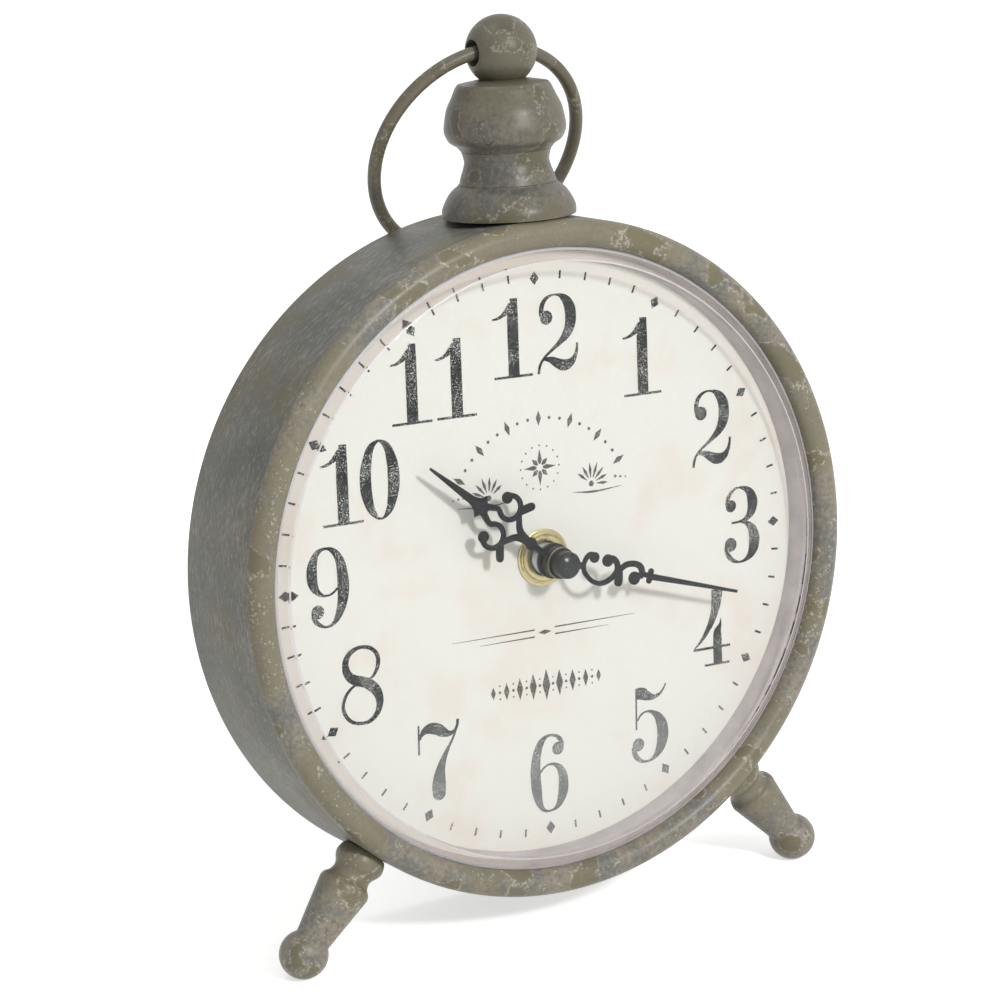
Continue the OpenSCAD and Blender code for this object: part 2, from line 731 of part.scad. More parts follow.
// Motion work: the cannon pinion carries the minute hand, the hour wheel the hour hand
cannon_end = cap_end + cap_wall + fit_gap;
cannon_bore_depth = 5.7;
module cannon_pinion() {
    color(bright_steel) in_case() difference() {
        union() {
            peg([0, 0], cannon_end, minute_layer - cannon_end, cannon_r);
            gear_layer([0, 0], minute_layer, motion_t, cannon_teeth, motion_module, 0);
        }
        peg([0, 0], minute_back - cannon_bore_depth, cannon_bore_depth + over, arbor_r + fit_gap);
    }
}

module hour_wheel() {
    tube_front = hour_y + hand_t/2;
    color(pale_plastic) in_case() difference() {
        union() {
            peg([0, 0], tube_front, hour_layer - tube_front, hour_tube_r);
            gear_layer([0, 0], hour_layer, motion_t, hour_teeth, motion_module, hour_phase);
        }
        peg([0, 0], tube_front - over, hour_layer + motion_t - tube_front + 2*over, hour_bore_r);
    }
}

post_r = 0.9;
module minute_wheel() {
    color(pale_plastic) in_case() difference() {
        union() {
            gear_layer(minute_at, hour_layer, minute_layer - hour_layer, minute_pinion_teeth,
                motion_module, minute_phase);
            gear_layer(minute_at, minute_layer, motion_t, minute_teeth, motion_module, minute_phase);
        }
        peg(minute_at, inner_y, split_y - inner_y, post_r + fit_gap);
    }
}

// Setting knob: a ribbed knob behind the housing, on a spindle with a gear
spindle_r = 1.5;
knob_y = movement_y + movement_d + side_gap;
knob_ribs = 24;
rib_share = 0.06;
module setting_knob() {
    color(pale_plastic) in_case() {
        peg(setting_at, hour_layer, knob_y + knob_t/2 - hour_layer, spindle_r);
        gear_layer(setting_at, minute_layer, motion_t, setting_teeth, motion_module, setting_phase);
        translate([setting_at[0], 0, setting_at[1]]) layer(knob_y, knob_t)
            polygon([for (i = [0:4*knob_ribs - 1])
                polar(knob_r*(i % 4 < 2 ? 1 : 1 - rib_share), i*360/(4*knob_ribs))]);
    }
}

// Train: rotor, intermediate wheel, seconds wheel, third wheel and centre wheel
magnet_r = 2.4;
magnet_t = 2.2;
stator_t = 1;
stator_y = second_layer - train_t;

module arbor(at, y) {
    peg(at, y, arbor_end - y, arbor_r);
}

module rotor() {
    color("#5b5d63") in_case() {
        peg(rotor_at, stator_y + (stator_t - magnet_t)/2, magnet_t, magnet_r);
        gear_layer(rotor_at, intermediate_layer, train_t, rotor_teeth, rotor_module, 0);
        arbor(rotor_at, pivot_y);
    }
}

module intermediate_wheel() {
    color(pale_plastic) in_case() {
        gear_layer(intermediate_at, intermediate_layer, train_t, intermediate_teeth, rotor_module,
            intermediate_phase);
        gear_layer(intermediate_at, second_layer, train_t, intermediate_pinion_teeth, second_module, 0);
        arbor(intermediate_at, pivot_y);
    }
}

second_arbor_front = 5.5;
module seconds_wheel() {
    color(pale_plastic) in_case() {
        gear_layer([0, 0], second_layer, train_t, second_teeth, second_module, second_phase);
        gear_layer([0, 0], third_layer, train_t, small_pinion_teeth, third_module, 0);
        arbor([0, 0], minute_back - second_arbor_front);
    }
}

module third_wheel() {
    color(pale_plastic) in_case() {
        gear_layer(third_at, third_layer, train_t, third_teeth, third_module, third_phase);
        gear_layer(third_at, centre_layer, train_t, small_pinion_teeth, centre_module, 0);
        arbor(third_at, pivot_y);
    }
}

centre_hub_r = 1.3;
module centre_wheel() {
    hub_y = minute_back + fit_gap;
    hub_t = centre_layer + train_t + side_gap - hub_y;
    color(pale_plastic) in_case() difference() {
        union() {
            gear_layer([0, 0], centre_layer, train_t, centre_teeth, centre_module, centre_phase);
            peg([0, 0], hub_y, hub_t, centre_hub_r);
        }
        peg([0, 0], hub_y - over, hub_t + 2*over, arbor_r + fit_gap);
    }
}

// Plate between the motion work and the train, on four posts of the front shell
inner_w = movement_w - 2*housing_wall;
bay_gap = 0.1;
bay_wall = 1;
battery_z = battery_r + bay_gap - inner_w/2;
bay_top = battery_z + battery_r + bay_gap;
plate_foot = bay_top + bay_wall + stop_gap;
post_inset = 2.4;
plate_post_r = 1.5;
module train_plate() {
    plate_h = inner_w/2 - side_gap - plate_foot;
    color(brass) in_case() difference() {
        layer(plate_layer, plate_layer_t) translate([0, plate_foot + plate_h/2])
            square([inner_w - 2*side_gap, plate_h], center = true);
        peg([0, 0], plate_layer - over, plate_layer_t + 2*over, centre_hub_r + fit_gap);
        peg(setting_at, plate_layer - over, plate_layer_t + 2*over, spindle_r + fit_gap);
        for (at = [third_at, intermediate_at, rotor_at])
            peg(at, plate_layer - over, plate_layer_t + 2*over, arbor_r + fit_gap);
    }
}

// Stator: a plate with the rotor's eye, and a core through the coil
stator_eye_r = 2.9;
stator_rim = 2;
stator_bar_z = 13;
stator_bar_h = 3;
stator_left = -20;
stator_right = 19;
stator_arm_w = 3;
core_h = 2;
coil_gap = 1.8;
coil_flange_r = 3.3;
coil_z = inner_w/2 - coil_gap - coil_flange_r;
module stator() {
    color(bright_steel) in_case() layer(stator_y, stator_t) difference() {
        union() {
            translate([stator_left, stator_bar_z])
                square([stator_right - stator_left, stator_bar_h]);
            translate(rotor_at) circle(stator_eye_r + stator_rim);
            for (x = [stator_left, stator_right - stator_arm_w]) translate([x, stator_bar_z])
                square([stator_arm_w, coil_z + core_h/2 - stator_bar_z]);
            translate([stator_left, coil_z - core_h/2]) square([stator_right - stator_left, core_h]);
        }
        translate(rotor_at) circle(stator_eye_r);
    }
}

coil_r = 2.9;
coil_bore_r = 1.3;
coil_len = 29;
coil_x = -0.5;
module coil() {
    color("#b4703a") in_case() translate([coil_x, stator_y + stator_t/2, coil_z]) difference() {
        union() {
            cross_bar(coil_len, coil_r);
            for (side = [-1, 1]) translate([side*(coil_len - sheet_t)/2, 0, 0])
                cross_bar(sheet_t, coil_flange_r);
        }
        cross_bar(coil_len + 2*over, coil_bore_r);
    }
}

board_w = 8.5;
board_h = 26;
board_t = 1;
board_foot = -10;
module circuit_board() {
    color("#2f5b46") in_case()
        translate([side_gap - inner_w/2, stator_y + stator_t + side_gap, board_foot])
        cube([board_w, board_t, board_h]);
}

// Housing: a front shell and a back shell that meet round the plate
housing_corner = 3;
bush_flange_r = 5.5;
bush_flange_t = 1;

module shell_wall(y, t) {
    layer(y, t) difference() {
        rounded(movement_w, movement_w, housing_corner);
        rounded(inner_w, inner_w, housing_corner - housing_wall);
    }
    translate([-inner_w/2, y, bay_top]) cube([inner_w, t, bay_wall]);
}

module movement_front() {
    wall_y = movement_y + housing_wall/2;
    post_x = inner_w/2 - side_gap - post_inset;
    color(dark_plastic) in_case() difference() {
        union() {
            layer(movement_y, housing_wall) rounded(movement_w, movement_w, housing_corner);
            shell_wall(wall_y, split_y - wall_y);
            for (x = [-post_x, post_x], z = [plate_foot + post_inset, post_x])
                peg([x, z], wall_y, plate_layer - wall_y, plate_post_r);
            peg(minute_at, wall_y, minute_back - wall_y, post_r);
        }
        peg([0, 0], movement_y - over, housing_wall + 2*over, bush_r + fit_gap);
        peg([0, 0], inner_y - bush_flange_t, bush_flange_t + over, bush_flange_r + fit_gap);
    }
}

module movement_back() {
    color(dark_plastic) in_case() difference() {
        union() {
            layer(rear_y, rear_wall) rounded(movement_w, movement_w, housing_corner);
            shell_wall(split_y, rear_y + rear_wall/2 - split_y);
        }
        translate([-inner_w/2, split_y - over, -inner_w/2])
            cube([inner_w, movement_d, bay_top + inner_w/2]);
        peg(setting_at, rear_y - over, rear_wall + 2*over, spindle_r + fit_gap);
        for (at = [[0, 0], third_at, intermediate_at, rotor_at])
            peg(at, rear_y - over, over + pivot_depth + fit_gap, arbor_r + fit_gap);
    }
}

module centre_bush() {
    color(bright_steel) in_case() difference() {
        union() {
            peg([0, 0], bush_y, inner_y - bush_y, bush_r);
            peg([0, 0], inner_y - bush_flange_t, bush_flange_t, bush_flange_r);
        }
        peg([0, 0], bush_y - over, inner_y - bush_y + 2*over, bush_bore_r);
    }
}

// Battery and its two contacts
button_len = 1;
button_r = 2.75;
contact_t = 0.4;
contact_gap = 0.2;
contact_w = 6;
battery_right = inner_w/2 - 2*contact_gap - contact_t - button_len;
battery_y = inner_y + bay_gap + battery_r;
module battery() {
    color("#3f4a52") in_case() translate([battery_right, battery_y, battery_z]) rotate([0, 90, 0]) {
        translate([0, 0, -battery_len]) cylinder(h = battery_len, r = battery_r);
        cylinder(h = button_len, r = button_r);
    }
}

module positive_contact() {
    color(bright_steel) in_case() translate([inner_w/2 - contact_gap - contact_t,
        battery_y - contact_w/2, battery_z - contact_w/2]) cube([contact_t, contact_w, contact_w]);
}

// The other contact is a leaf that bows towards the battery
module negative_contact() {
    leaf_back = contact_t/2 - inner_w/2 + contact_gap;
    leaf_front = battery_right - battery_len - contact_gap - contact_t/2;
    color(bright_steel) in_case() layer(battery_y - contact_w/2, contact_w)
        translate([0, battery_z]) band(smooth([[leaf_back, -contact_w, contact_t/2],
            [leaf_front, 0, contact_t/2], [leaf_back, contact_w, contact_t/2]], 6));
}

// Brackets inside the drum, spot-welded to its wall, that carry the back cover
bracket_t = 1;
bracket_screw_r = 1.4;
bracket_screw_inset = 6.2;
bracket_screw_at = drum_inner_r - bracket_screw_inset;
bracket_tab_end = 5;
bracket_face = inner_seat(bracket_w);
bracket_front = glass_back + sheet_t + side_gap/3;
screw_head_r = 2.8;
screw_head_t = 1.8;
screw_len = 6;

module cover_screw_pegs(y, t, r) {
    for (a = [-90, 30, 150]) peg(polar(bracket_screw_at, a), y, t, r);
}

module cover_brackets() {
    tab_foot = bracket_screw_at - bracket_tab_end;
    color(bright_steel) in_case() difference() {
        for (a = [0, 120, 240]) rotate([0, a, 0]) {
            translate([-bracket_w/2, bracket_front, -bracket_face])
                cube([bracket_w, cover_y - bracket_front, bracket_t]);
            translate([-bracket_w/2, cover_y - bracket_t, -bracket_face])
                cube([bracket_w, bracket_t, bracket_face - tab_foot]);
        }
        cover_screw_pegs(cover_y - 2*bracket_t, 3*bracket_t, bracket_screw_r + fit_gap);
    }
}

cover_edge_gap = 0.6;
module back_cover() {
    cover_r = drum_inner_r - cover_edge_gap;
    color(bright_steel) in_case() difference() {
        union() {
            peg([0, 0], cover_y, sheet_t, cover_r);
            turned() translate([cover_r - sheet_t, cover_y]) square([sheet_t, rim_h]);
        }
        layer(cover_y - over, sheet_t + 2*over) rounded(opening_w, opening_w, 2*housing_corner);
        cover_screw_pegs(cover_y - over, sheet_t + 2*over, bracket_screw_r + fit_gap);
        rivet_pegs(cover_y - over, sheet_t + 2*over, rivet_r + fit_gap);
    }
}

module cover_screws() {
    color(bright_steel) in_case() {
        cover_screw_pegs(cover_back, screw_head_t, screw_head_r);
        cover_screw_pegs(cover_back - screw_len, screw_len + screw_head_t/2, bracket_screw_r);
    }
}

// Strut bracket: a plate with two ears, riveted to the cover
plate_half_h = 6;
rivet_r = 1.2;
rivet_head_r = 1.9;
rivet_head_t = 0.4;
rivet_inset = 2.4;
ear_x = strut_top_w/2 + side_gap;
module rivet_pegs(y, t, r) {
    for (x = [-1, 1], z = [-1, 1])
        peg([x*(ear_x - rivet_inset), z*(plate_half_h - rivet_inset) - strut_drop], y, t, r);
}

module strut_bracket() {
    ear_r = strut_eye_r + ear_t/2;
    color(bright_steel) in_case() difference() {
        union() {
            translate([-ear_x - ear_t, cover_back, -strut_drop - plate_half_h])
                cube([2*(ear_x + ear_t), ear_t, 2*plate_half_h]);
            for (side = [-1, 1]) translate([side*(ear_x + ear_t/2), 0, -strut_drop]) {
                translate([-ear_t/2, cover_back, -ear_r]) cube([ear_t, pin_y - cover_back, 2*ear_r]);
                translate([0, pin_y, 0]) cross_bar(ear_t, ear_r);
            }
        }
        translate([0, pin_y, -strut_drop]) cross_bar(2*(ear_x + ear_t + over), pin_r + fit_gap/3);
        rivet_pegs(cover_back - over, ear_t + 2*over, rivet_r + fit_gap);
    }
}

module strut_rivets() {
    color(bright_steel) in_case() {
        rivet_pegs(cover_y, sheet_t + ear_t, rivet_r);
        rivet_pegs(cover_back + ear_t, rivet_head_t, rivet_head_r);
        rivet_pegs(cover_y - rivet_head_t, rivet_head_t, rivet_head_r);
    }
}

pin_head_t = 0.6;
module strut_pin() {
    color(bright_steel) in_case() translate([0, pin_y, -strut_drop]) {
        cross_bar(2*(ear_x + ear_t), pin_r);
        for (side = [-1, 1]) translate([side*(ear_x + ear_t + pin_head_t/2), 0, 0])
            cross_bar(pin_head_t, pin_r + pin_head_t);
    }
}

// Strut: a tapered strip with a rolled eye, whose heel stops on the bracket when open
heel_len = (pin_y - cover_back - ear_t - stop_gap - strut_t/2*cos(strut_open))/sin(strut_open);
heel_half_w = ear_x - rivet_inset - rivet_head_r - side_gap;
module strut() {
    color(bright_steel) in_case() translate([0, pin_y, -strut_drop]) rotate([strut_open, 0, 0])
        difference() {
            union() {
                layer(-strut_t/2, strut_t) polygon([[-heel_half_w, heel_len], [heel_half_w, heel_len],
                    [heel_half_w, 0], [strut_top_w/2, 0], [strut_top_w/2, -2*strut_eye_r],
                    [strut_foot_w/2, -strut_len], [-strut_foot_w/2, -strut_len],
                    [-strut_top_w/2, -2*strut_eye_r], [-strut_top_w/2, 0], [-heel_half_w, 0]]);
                cross_bar(strut_top_w, strut_eye_r);
                translate([0, 0, -strut_len]) cross_bar(strut_foot_w, strut_foot_r);
            }
            cross_bar(strut_top_w + 2*over, pin_r + fit_gap);
        }
}

case_drum();
glass();
spacer_ring();
dial_face();
dial_plate();
dial_screws();
gasket();
dial_washer();
dial_nut();
hour_hand();
minute_hand();
cap_nut();
finial_foot();
finial_waist();
finial_bulb();
finial_ball();
finial_rod();
finial_washer();
finial_nut();
hanging_ring();
left_foot();
right_foot();
foot_nuts();
movement_front();
movement_back();
centre_bush();
train_plate();
circuit_board();
coil();
stator();
rotor();
intermediate_wheel();
seconds_wheel();
third_wheel();
centre_wheel();
cannon_pinion();
minute_wheel();
hour_wheel();
setting_knob();
battery();
positive_contact();
negative_contact();
cover_brackets();
back_cover();
cover_screws();
strut_bracket();
strut_rivets();
strut_pin();
strut();
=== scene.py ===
"""A round table clock in its finishes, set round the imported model. Sizes are in millimetres in the
case's own axes: x across the dial, y through its middle to the back, z up the dial."""
import json
import math

import bmesh
import bpy
from mathutils import Matrix, Vector
from mathutils.geometry import interpolate_bezier


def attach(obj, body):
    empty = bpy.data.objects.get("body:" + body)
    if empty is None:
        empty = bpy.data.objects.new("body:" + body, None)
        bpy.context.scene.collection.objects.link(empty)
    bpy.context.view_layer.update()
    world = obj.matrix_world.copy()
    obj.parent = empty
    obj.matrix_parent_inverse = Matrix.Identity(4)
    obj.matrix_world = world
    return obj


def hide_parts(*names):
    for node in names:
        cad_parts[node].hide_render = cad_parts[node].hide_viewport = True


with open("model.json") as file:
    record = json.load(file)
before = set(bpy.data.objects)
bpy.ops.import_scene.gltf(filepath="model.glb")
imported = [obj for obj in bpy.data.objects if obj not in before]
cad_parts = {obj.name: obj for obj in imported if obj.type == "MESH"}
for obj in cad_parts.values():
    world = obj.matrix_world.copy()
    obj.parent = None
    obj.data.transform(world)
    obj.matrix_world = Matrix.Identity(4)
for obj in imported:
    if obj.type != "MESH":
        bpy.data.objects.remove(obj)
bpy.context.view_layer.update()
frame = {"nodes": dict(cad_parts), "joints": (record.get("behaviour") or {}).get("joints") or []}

# The case is rolled from sheet steel into a drum with a beaded front edge. It is lacquered dark grey,
# rubbed with a brown glaze and chipped. It leans back, so all sizes below are in the case's own axes.
# The hands' joint gives them: their y runs along its axis, from the plane of the bead in front of it.
spindle = next(j for j in frame["joints"] if j["name"] == "minute_spin")
lean = math.atan2(-spindle["axis"][2], spindle["axis"][1])
joint_y = 0.005
dial_middle = Vector(spindle["pos_m"]) - joint_y * Vector(spindle["axis"])
case_axes = Matrix.Translation(dial_middle) @ Matrix.Rotation(-lean, 4, "X") @ Matrix.Scale(0.001, 4)
back_to_case = case_axes.inverted()


def linear(shade):
    """An sRGB hex colour as the linear colour that a socket takes."""
    parts = [int(shade[i:i + 2], 16) / 255 for i in (1, 3, 5)]
    return tuple(p / 12.92 if p < 0.04045 else ((p + 0.055) / 1.055) ** 2.4 for p in parts) + (1,)


def add(finish, kind, sockets, **settings):
    """Adds a node. A socket takes a value, a hex colour, or the node or output that feeds it."""
    node = finish.node_tree.nodes.new("ShaderNode" + kind)
    for key, value in settings.items():
        setattr(node, key, value)
    for key, value in sockets.items():
        named = [i for i in node.inputs if i.enabled and i.name == key]
        socket = node.inputs[key] if isinstance(key, int) else named[0]
        if isinstance(value, bpy.types.Node):
            value = next(o for o in value.outputs if o.enabled)
        if isinstance(value, bpy.types.NodeSocket):
            finish.node_tree.links.new(value, socket)
        else:
            socket.default_value = linear(value) if isinstance(value, str) else value
    return node


def new_finish(name):
    """An empty finish, and the node that gives its patterns their place in case millimetres."""
    finish = bpy.data.materials.new(name)
    finish.use_nodes = True
    finish.node_tree.nodes.clear()
    seat = add(finish, "TexCoord", {})
    spot = add(finish, "Mapping", {
        "Vector": seat.outputs["Object"], "Scale": (1000, 1000, 1000), "Rotation": (lean, 0, 0),
        "Location": tuple(back_to_case.translation)})
    return finish, spot


def turned(outline, steps, edge=0.0):
    """A solid turned about z from an outline of radius and height, its sharp corners eased by edge. An
    outline that starts on the axis also ends there, and any other is closed."""
    work = bmesh.new()
    points = [work.verts.new((r, 0, h)) for r, h in outline]
    starts_on_axis = outline[0][0] < 0.001
    ends = points[1:] if starts_on_axis else points[1:] + points[:1]
    lines = [work.edges.new(pair) for pair in zip(points, ends)]
    bmesh.ops.spin(work, geom=points + lines, axis=(0, 0, 1), cent=(0, 0, 0), angle=math.tau,
                   steps=steps, use_merge=True)
    bmesh.ops.remove_doubles(work, verts=work.verts, dist=0.0005)
    if edge:
        ease(work, edge)
    return work


def ease(work, edge):
    """Rounds by this much the edges of a mesh where it turns by over half a radian."""
    bmesh.ops.recalc_face_normals(work, faces=work.faces)
    sharp = [e for e in work.edges if e.is_manifold and e.calc_face_angle() > 0.5]
    bmesh.ops.bevel(work, geom=sharp, offset=edge, offset_type="OFFSET", segments=2, profile=0.5,
                    affect="EDGES", clamp_overlap=True, material=-1)


def settle(work, name, place, finish, body, slot, *nodes, crease=38):
    """Puts a mesh in its place on the clock, as a piece that rides on a body and replaces nodes."""
    work.transform(place)
    work.normal_update()
    bmesh.ops.recalc_face_normals(work, faces=work.faces)
    mesh = bpy.data.meshes.new(name)
    work.to_mesh(mesh)
    work.free()
    mesh.shade_smooth()
    mesh.set_sharp_from_angle(angle=math.radians(crease))
    mesh.materials.append(finish)
    made = bpy.data.objects.new(name, mesh)
    bpy.context.scene.collection.objects.link(made)
    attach(made, body)
    if nodes:
        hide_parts(*nodes)
    return made


def arc(middle, radius, start, end, count):
    """Points of an outline along a circle, between two angles in degrees."""
    turns = [math.radians(start + (end - start) * i / count) for i in range(count + 1)]
    return [(middle[0] + radius * math.cos(t), middle[1] + radius * math.sin(t)) for t in turns]


# Rubbed lacquer over steel: grey and brown clouds, smooth olive islands where the glaze stayed,
# with pale chips along their ragged rims, and clusters of pale flecks. Islands are 8 to 15 mm wide.
# The last scale lets a copy of the finish be made darker.
lacquer, spot = new_finish("rubbed_lacquer")
cloud = add(lacquer, "TexNoise", {"Vector": spot, "Scale": 0.1, "Detail": 4, "Roughness": 0.6})
fine = add(lacquer, "TexNoise", {"Vector": spot, "Scale": 0.8, "Detail": 5, "Roughness": 0.7})
grit = add(lacquer, "TexNoise", {"Vector": spot, "Scale": 1.3, "Detail": 3, "Roughness": 0.6})
shown = add(lacquer, "Mix", {
    "Factor": add(lacquer, "MapRange", {"Value": cloud, "From Min": 0.38, "From Max": 0.6}),
    "A": "#6b6b66", "B": "#837b6c"}, data_type="RGBA")
shown = add(lacquer, "Mix", {
    "Factor": add(lacquer, "MapRange", {"Value": fine, "From Min": 0.5, "From Max": 0.72}),
    "A": shown, "B": "#918b7f"}, data_type="RGBA")
shown = add(lacquer, "Mix", {
    "Factor": add(lacquer, "MapRange", {"Value": fine, "From Min": 0.46, "From Max": 0.3}),
    "A": shown, "B": "#5e5d57"}, data_type="RGBA")
glazed = add(lacquer, "TexNoise", {"Vector": spot, "Scale": 0.028, "Detail": 3})
glazed = add(lacquer, "MapRange", {
    "Value": glazed, "From Min": 0.47, "From Max": 0.55, "To Min": 0.0, "To Max": 0.75})
shown = add(lacquer, "Mix", {"Factor": glazed, "A": shown, "B": "#78715c"}, data_type="RGBA")
isle = add(lacquer, "TexNoise", {"Vector": spot, "Scale": 0.085, "Detail": 4, "Roughness": 0.42})
inside = add(lacquer, "MapRange", {
    "Value": isle, "From Min": 0.568, "From Max": 0.598, "To Min": 0.0, "To Max": 0.86})
shown = add(lacquer, "Mix", {"Factor": inside, "A": shown, "B": "#6d6750"}, data_type="RGBA")
rim = add(lacquer, "Math", {0: isle, 1: 0.57}, operation="SUBTRACT")
rim = add(lacquer, "MapRange", {
    "Value": add(lacquer, "Math", {0: rim}, operation="ABSOLUTE"),
    "From Min": 0.004, "From Max": 0.022, "To Min": 1.0, "To Max": 0.0})
chipped = add(lacquer, "MapRange", {"Value": grit, "From Min": 0.49, "From Max": 0.56})
rim = add(lacquer, "Math", {0: rim, 1: chipped}, operation="MULTIPLY")
bare = add(lacquer, "TexNoise", {"Vector": spot, "Scale": 0.11, "Detail": 3})
limit = add(lacquer, "MapRange", {
    "Value": bare, "From Min": 0.42, "From Max": 0.62, "To Min": 0.76, "To Max": 0.6})
fleck = add(lacquer, "Math", {0: grit, 1: limit}, operation="SUBTRACT")
fleck = add(lacquer, "MapRange", {"Value": fleck, "From Min": 0.0, "From Max": 0.03})
pale = add(lacquer, "Math", {0: rim, 1: fleck}, operation="MAXIMUM")
shown = add(lacquer, "Mix", {
    "Factor": add(lacquer, "Math", {0: pale, 1: 0.85}, operation="MULTIPLY"),
    "A": shown, "B": "#aaa495"}, data_type="RGBA")
depth = add(lacquer, "VectorMath", {0: shown, "Scale": 1.0}, operation="SCALE")
height = add(lacquer, "Math", {0: inside, 1: fine}, operation="ADD")
height = add(lacquer, "Math", {0: height, 1: pale}, operation="SUBTRACT")
add(lacquer, "OutputMaterial", {"Surface": add(lacquer, "BsdfPrincipled", {
    "Base Color": depth,
    "Roughness": add(lacquer, "MapRange", {
        "Value": fine, "From Min": 0.3, "From Max": 0.7, "To Min": 0.3, "To Max": 0.48}),
    "Specular IOR Level": 0.35,
    "Normal": add(lacquer, "Bump", {"Height": height, "Strength": 0.4, "Distance": 0.00008})})})

# The drum's wall is greyer, with soft olive clouds and marks of the brush that went round it: short
# scratches 0.3 mm apart and some 2.5 mm long, over soft streaks 0.7 mm apart.
streaked, spot = new_finish("streaked_lacquer")
along = add(streaked, "Mapping", {"Vector": spot, "Scale": (0.45, 1.4, 0.45)})
streak = add(streaked, "TexNoise", {"Vector": along, "Scale": 1.0, "Detail": 5, "Roughness": 0.7})
cloud = add(streaked, "TexNoise", {"Vector": spot, "Scale": 0.045, "Detail": 5, "Roughness": 0.6})
fine = add(streaked, "TexNoise", {"Vector": spot, "Scale": 0.9, "Detail": 5, "Roughness": 0.7})
shown = add(streaked, "Mix", {
    "Factor": add(streaked, "MapRange", {"Value": cloud, "From Min": 0.35, "From Max": 0.65}),
    "A": "#5c5e58", "B": "#787770"}, data_type="RGBA")
shown = add(streaked, "Mix", {
    "Factor": add(streaked, "MapRange", {"Value": streak, "From Min": 0.52, "From Max": 0.68}),
    "A": shown, "B": "#989489"}, data_type="RGBA")
shown = add(streaked, "Mix", {
    "Factor": add(streaked, "MapRange", {"Value": streak, "From Min": 0.46, "From Max": 0.3}),
    "A": shown, "B": "#53524b"}, data_type="RGBA")
olive = add(streaked, "TexNoise", {"Vector": spot, "Scale": 0.05, "Detail": 4})
olive = add(streaked, "MapRange", {
    "Value": olive, "From Min": 0.51, "From Max": 0.64, "To Min": 0.0, "To Max": 0.8})
shown = add(streaked, "Mix", {"Factor": olive, "A": shown, "B": "#69634c"}, data_type="RGBA")
fleck = add(streaked, "MapRange", {"Value": fine, "From Min": 0.63, "From Max": 0.68})
scratch = add(streaked, "Mapping", {"Vector": spot, "Scale": (0.4, 3.0, 0.4)})
scratch = add(streaked, "TexNoise", {"Vector": scratch, "Scale": 1.0, "Detail": 3})
rubbed = add(streaked, "MapRange", {
    "Value": cloud, "From Min": 0.42, "From Max": 0.6, "To Min": 0.67, "To Max": 0.58})
scratch = add(streaked, "Math", {0: scratch, 1: rubbed}, operation="SUBTRACT")
scratch = add(streaked, "MapRange", {"Value": scratch, "From Min": 0.0, "From Max": 0.05})
pale = add(streaked, "Math", {0: scratch, 1: fleck}, operation="MAXIMUM")
add(streaked, "OutputMaterial", {"Surface": add(streaked, "BsdfPrincipled", {
    "Base Color": add(streaked, "Mix", {
        "Factor": add(streaked, "Math", {0: pale, 1: 0.8}, operation="MULTIPLY"),
        "A": shown, "B": "#aaa69b"}, data_type="RGBA"),
    "Roughness": add(streaked, "MapRange", {
        "Value": streak, "From Min": 0.3, "From Max": 0.7, "To Min": 0.42, "To Max": 0.58}),
    "Specular IOR Level": 0.25,
    "Normal": add(streaked, "Bump", {"Height": fine, "Strength": 0.35, "Distance": 0.00008})})})

# The drum's front edge is rolled round into a bead, with a short lip behind it that holds the glass.
# Its rear edge is cut plain. The streaked lacquer covers the wall's outside, from the bead backwards.
case_r, sheet, bead_r, case_depth = 86.0, 0.8, 3.5, 33.0
bead_middle, bead_end = (case_r - bead_r, 0.0), 0.6
lip_r, lip_back, margin = case_r - 2 * bead_r, 0.4, 0.1
drum = turned(
    arc(bead_middle, bead_r, 0, -180, 24) + [(lip_r, lip_back), (lip_r + sheet, lip_back)]
    + arc(bead_middle, bead_r - sheet, -180, 0, 24)
    + [(case_r - sheet, case_depth), (case_r, case_depth)], 256, 0.12)
on_dial = case_axes @ Matrix.Rotation(-math.pi / 2, 4, "X")
drum = settle(drum, "drum", on_dial, lacquer, "case", "case_steel", "case_drum")
drum.data.materials.append(streaked)
for face in drum.data.polygons:
    seen = back_to_case @ face.center
    if seen.y > bead_end and math.hypot(seen.x, seen.z) > case_r - sheet - margin:
        face.material_index = 1

# Clear glass, pressed to a dome, with a polished bevel round it and finely ground edges. Its flat rim
# sits behind the lip. It reflects little, and the lamps' light passes straight through it, so that the
# dial stays lit. The bevel is tinted a little darker and pinker, as painted shade for the light that its
# slope reflects away. The ground edges are pale grey, which also paints the highlight lines on them.
panes = {}
# The bevel's colour, darker and pinker than the dome's, is painted shade.
for name, tint_and_painted_shade, open_tint_and_painted_shade, bend in (("pressed_glass", "#fbfcfc", "#f8f9f9", 1.2),
                                    ("polished_bevel_painted_shade", "#e6e0de", "#f2efee", 1.46)):
    pane, spot = new_finish(name)
    ripple = add(pane, "TexNoise", {"Vector": spot, "Scale": 0.02, "Detail": 1})
    clear = add(pane, "BsdfPrincipled", {
        "Base Color": tint_and_painted_shade, "Roughness": 0.0, "IOR": bend, "Transmission Weight": 1.0,
        "Normal": add(pane, "Bump", {"Height": ripple, "Strength": 0.2, "Distance": 0.0005})})
    rays = add(pane, "LightPath", {})
    open_way = add(pane, "BsdfTransparent", {"Color": open_tint_and_painted_shade})
    bounced = add(pane, "MixShader", {"Fac": rays.outputs["Is Diffuse Ray"], 1: clear, 2: open_way})
    add(pane, "OutputMaterial", {"Surface": add(pane, "MixShader", {
        "Fac": rays.outputs["Is Shadow Ray"], 1: bounced, 2: open_way})})
    panes[name] = pane
# The edges' pale grey is partly their ground finish and partly painted highlight lines along the arrises.
ground, spot = new_finish("ground_glass_edge_and_highlight")
grit = add(ground, "TexNoise", {"Vector": spot, "Scale": 2.0, "Detail": 3})
add(ground, "OutputMaterial", {"Surface": add(ground, "BsdfPrincipled", {
    "Base Color": add(ground, "Mix", {"Factor": grit, "A": "#c4c5c9", "B": "#e6e6e8"}, data_type="RGBA"),
    "Roughness": 0.4, "Transmission Weight": 0.35})})

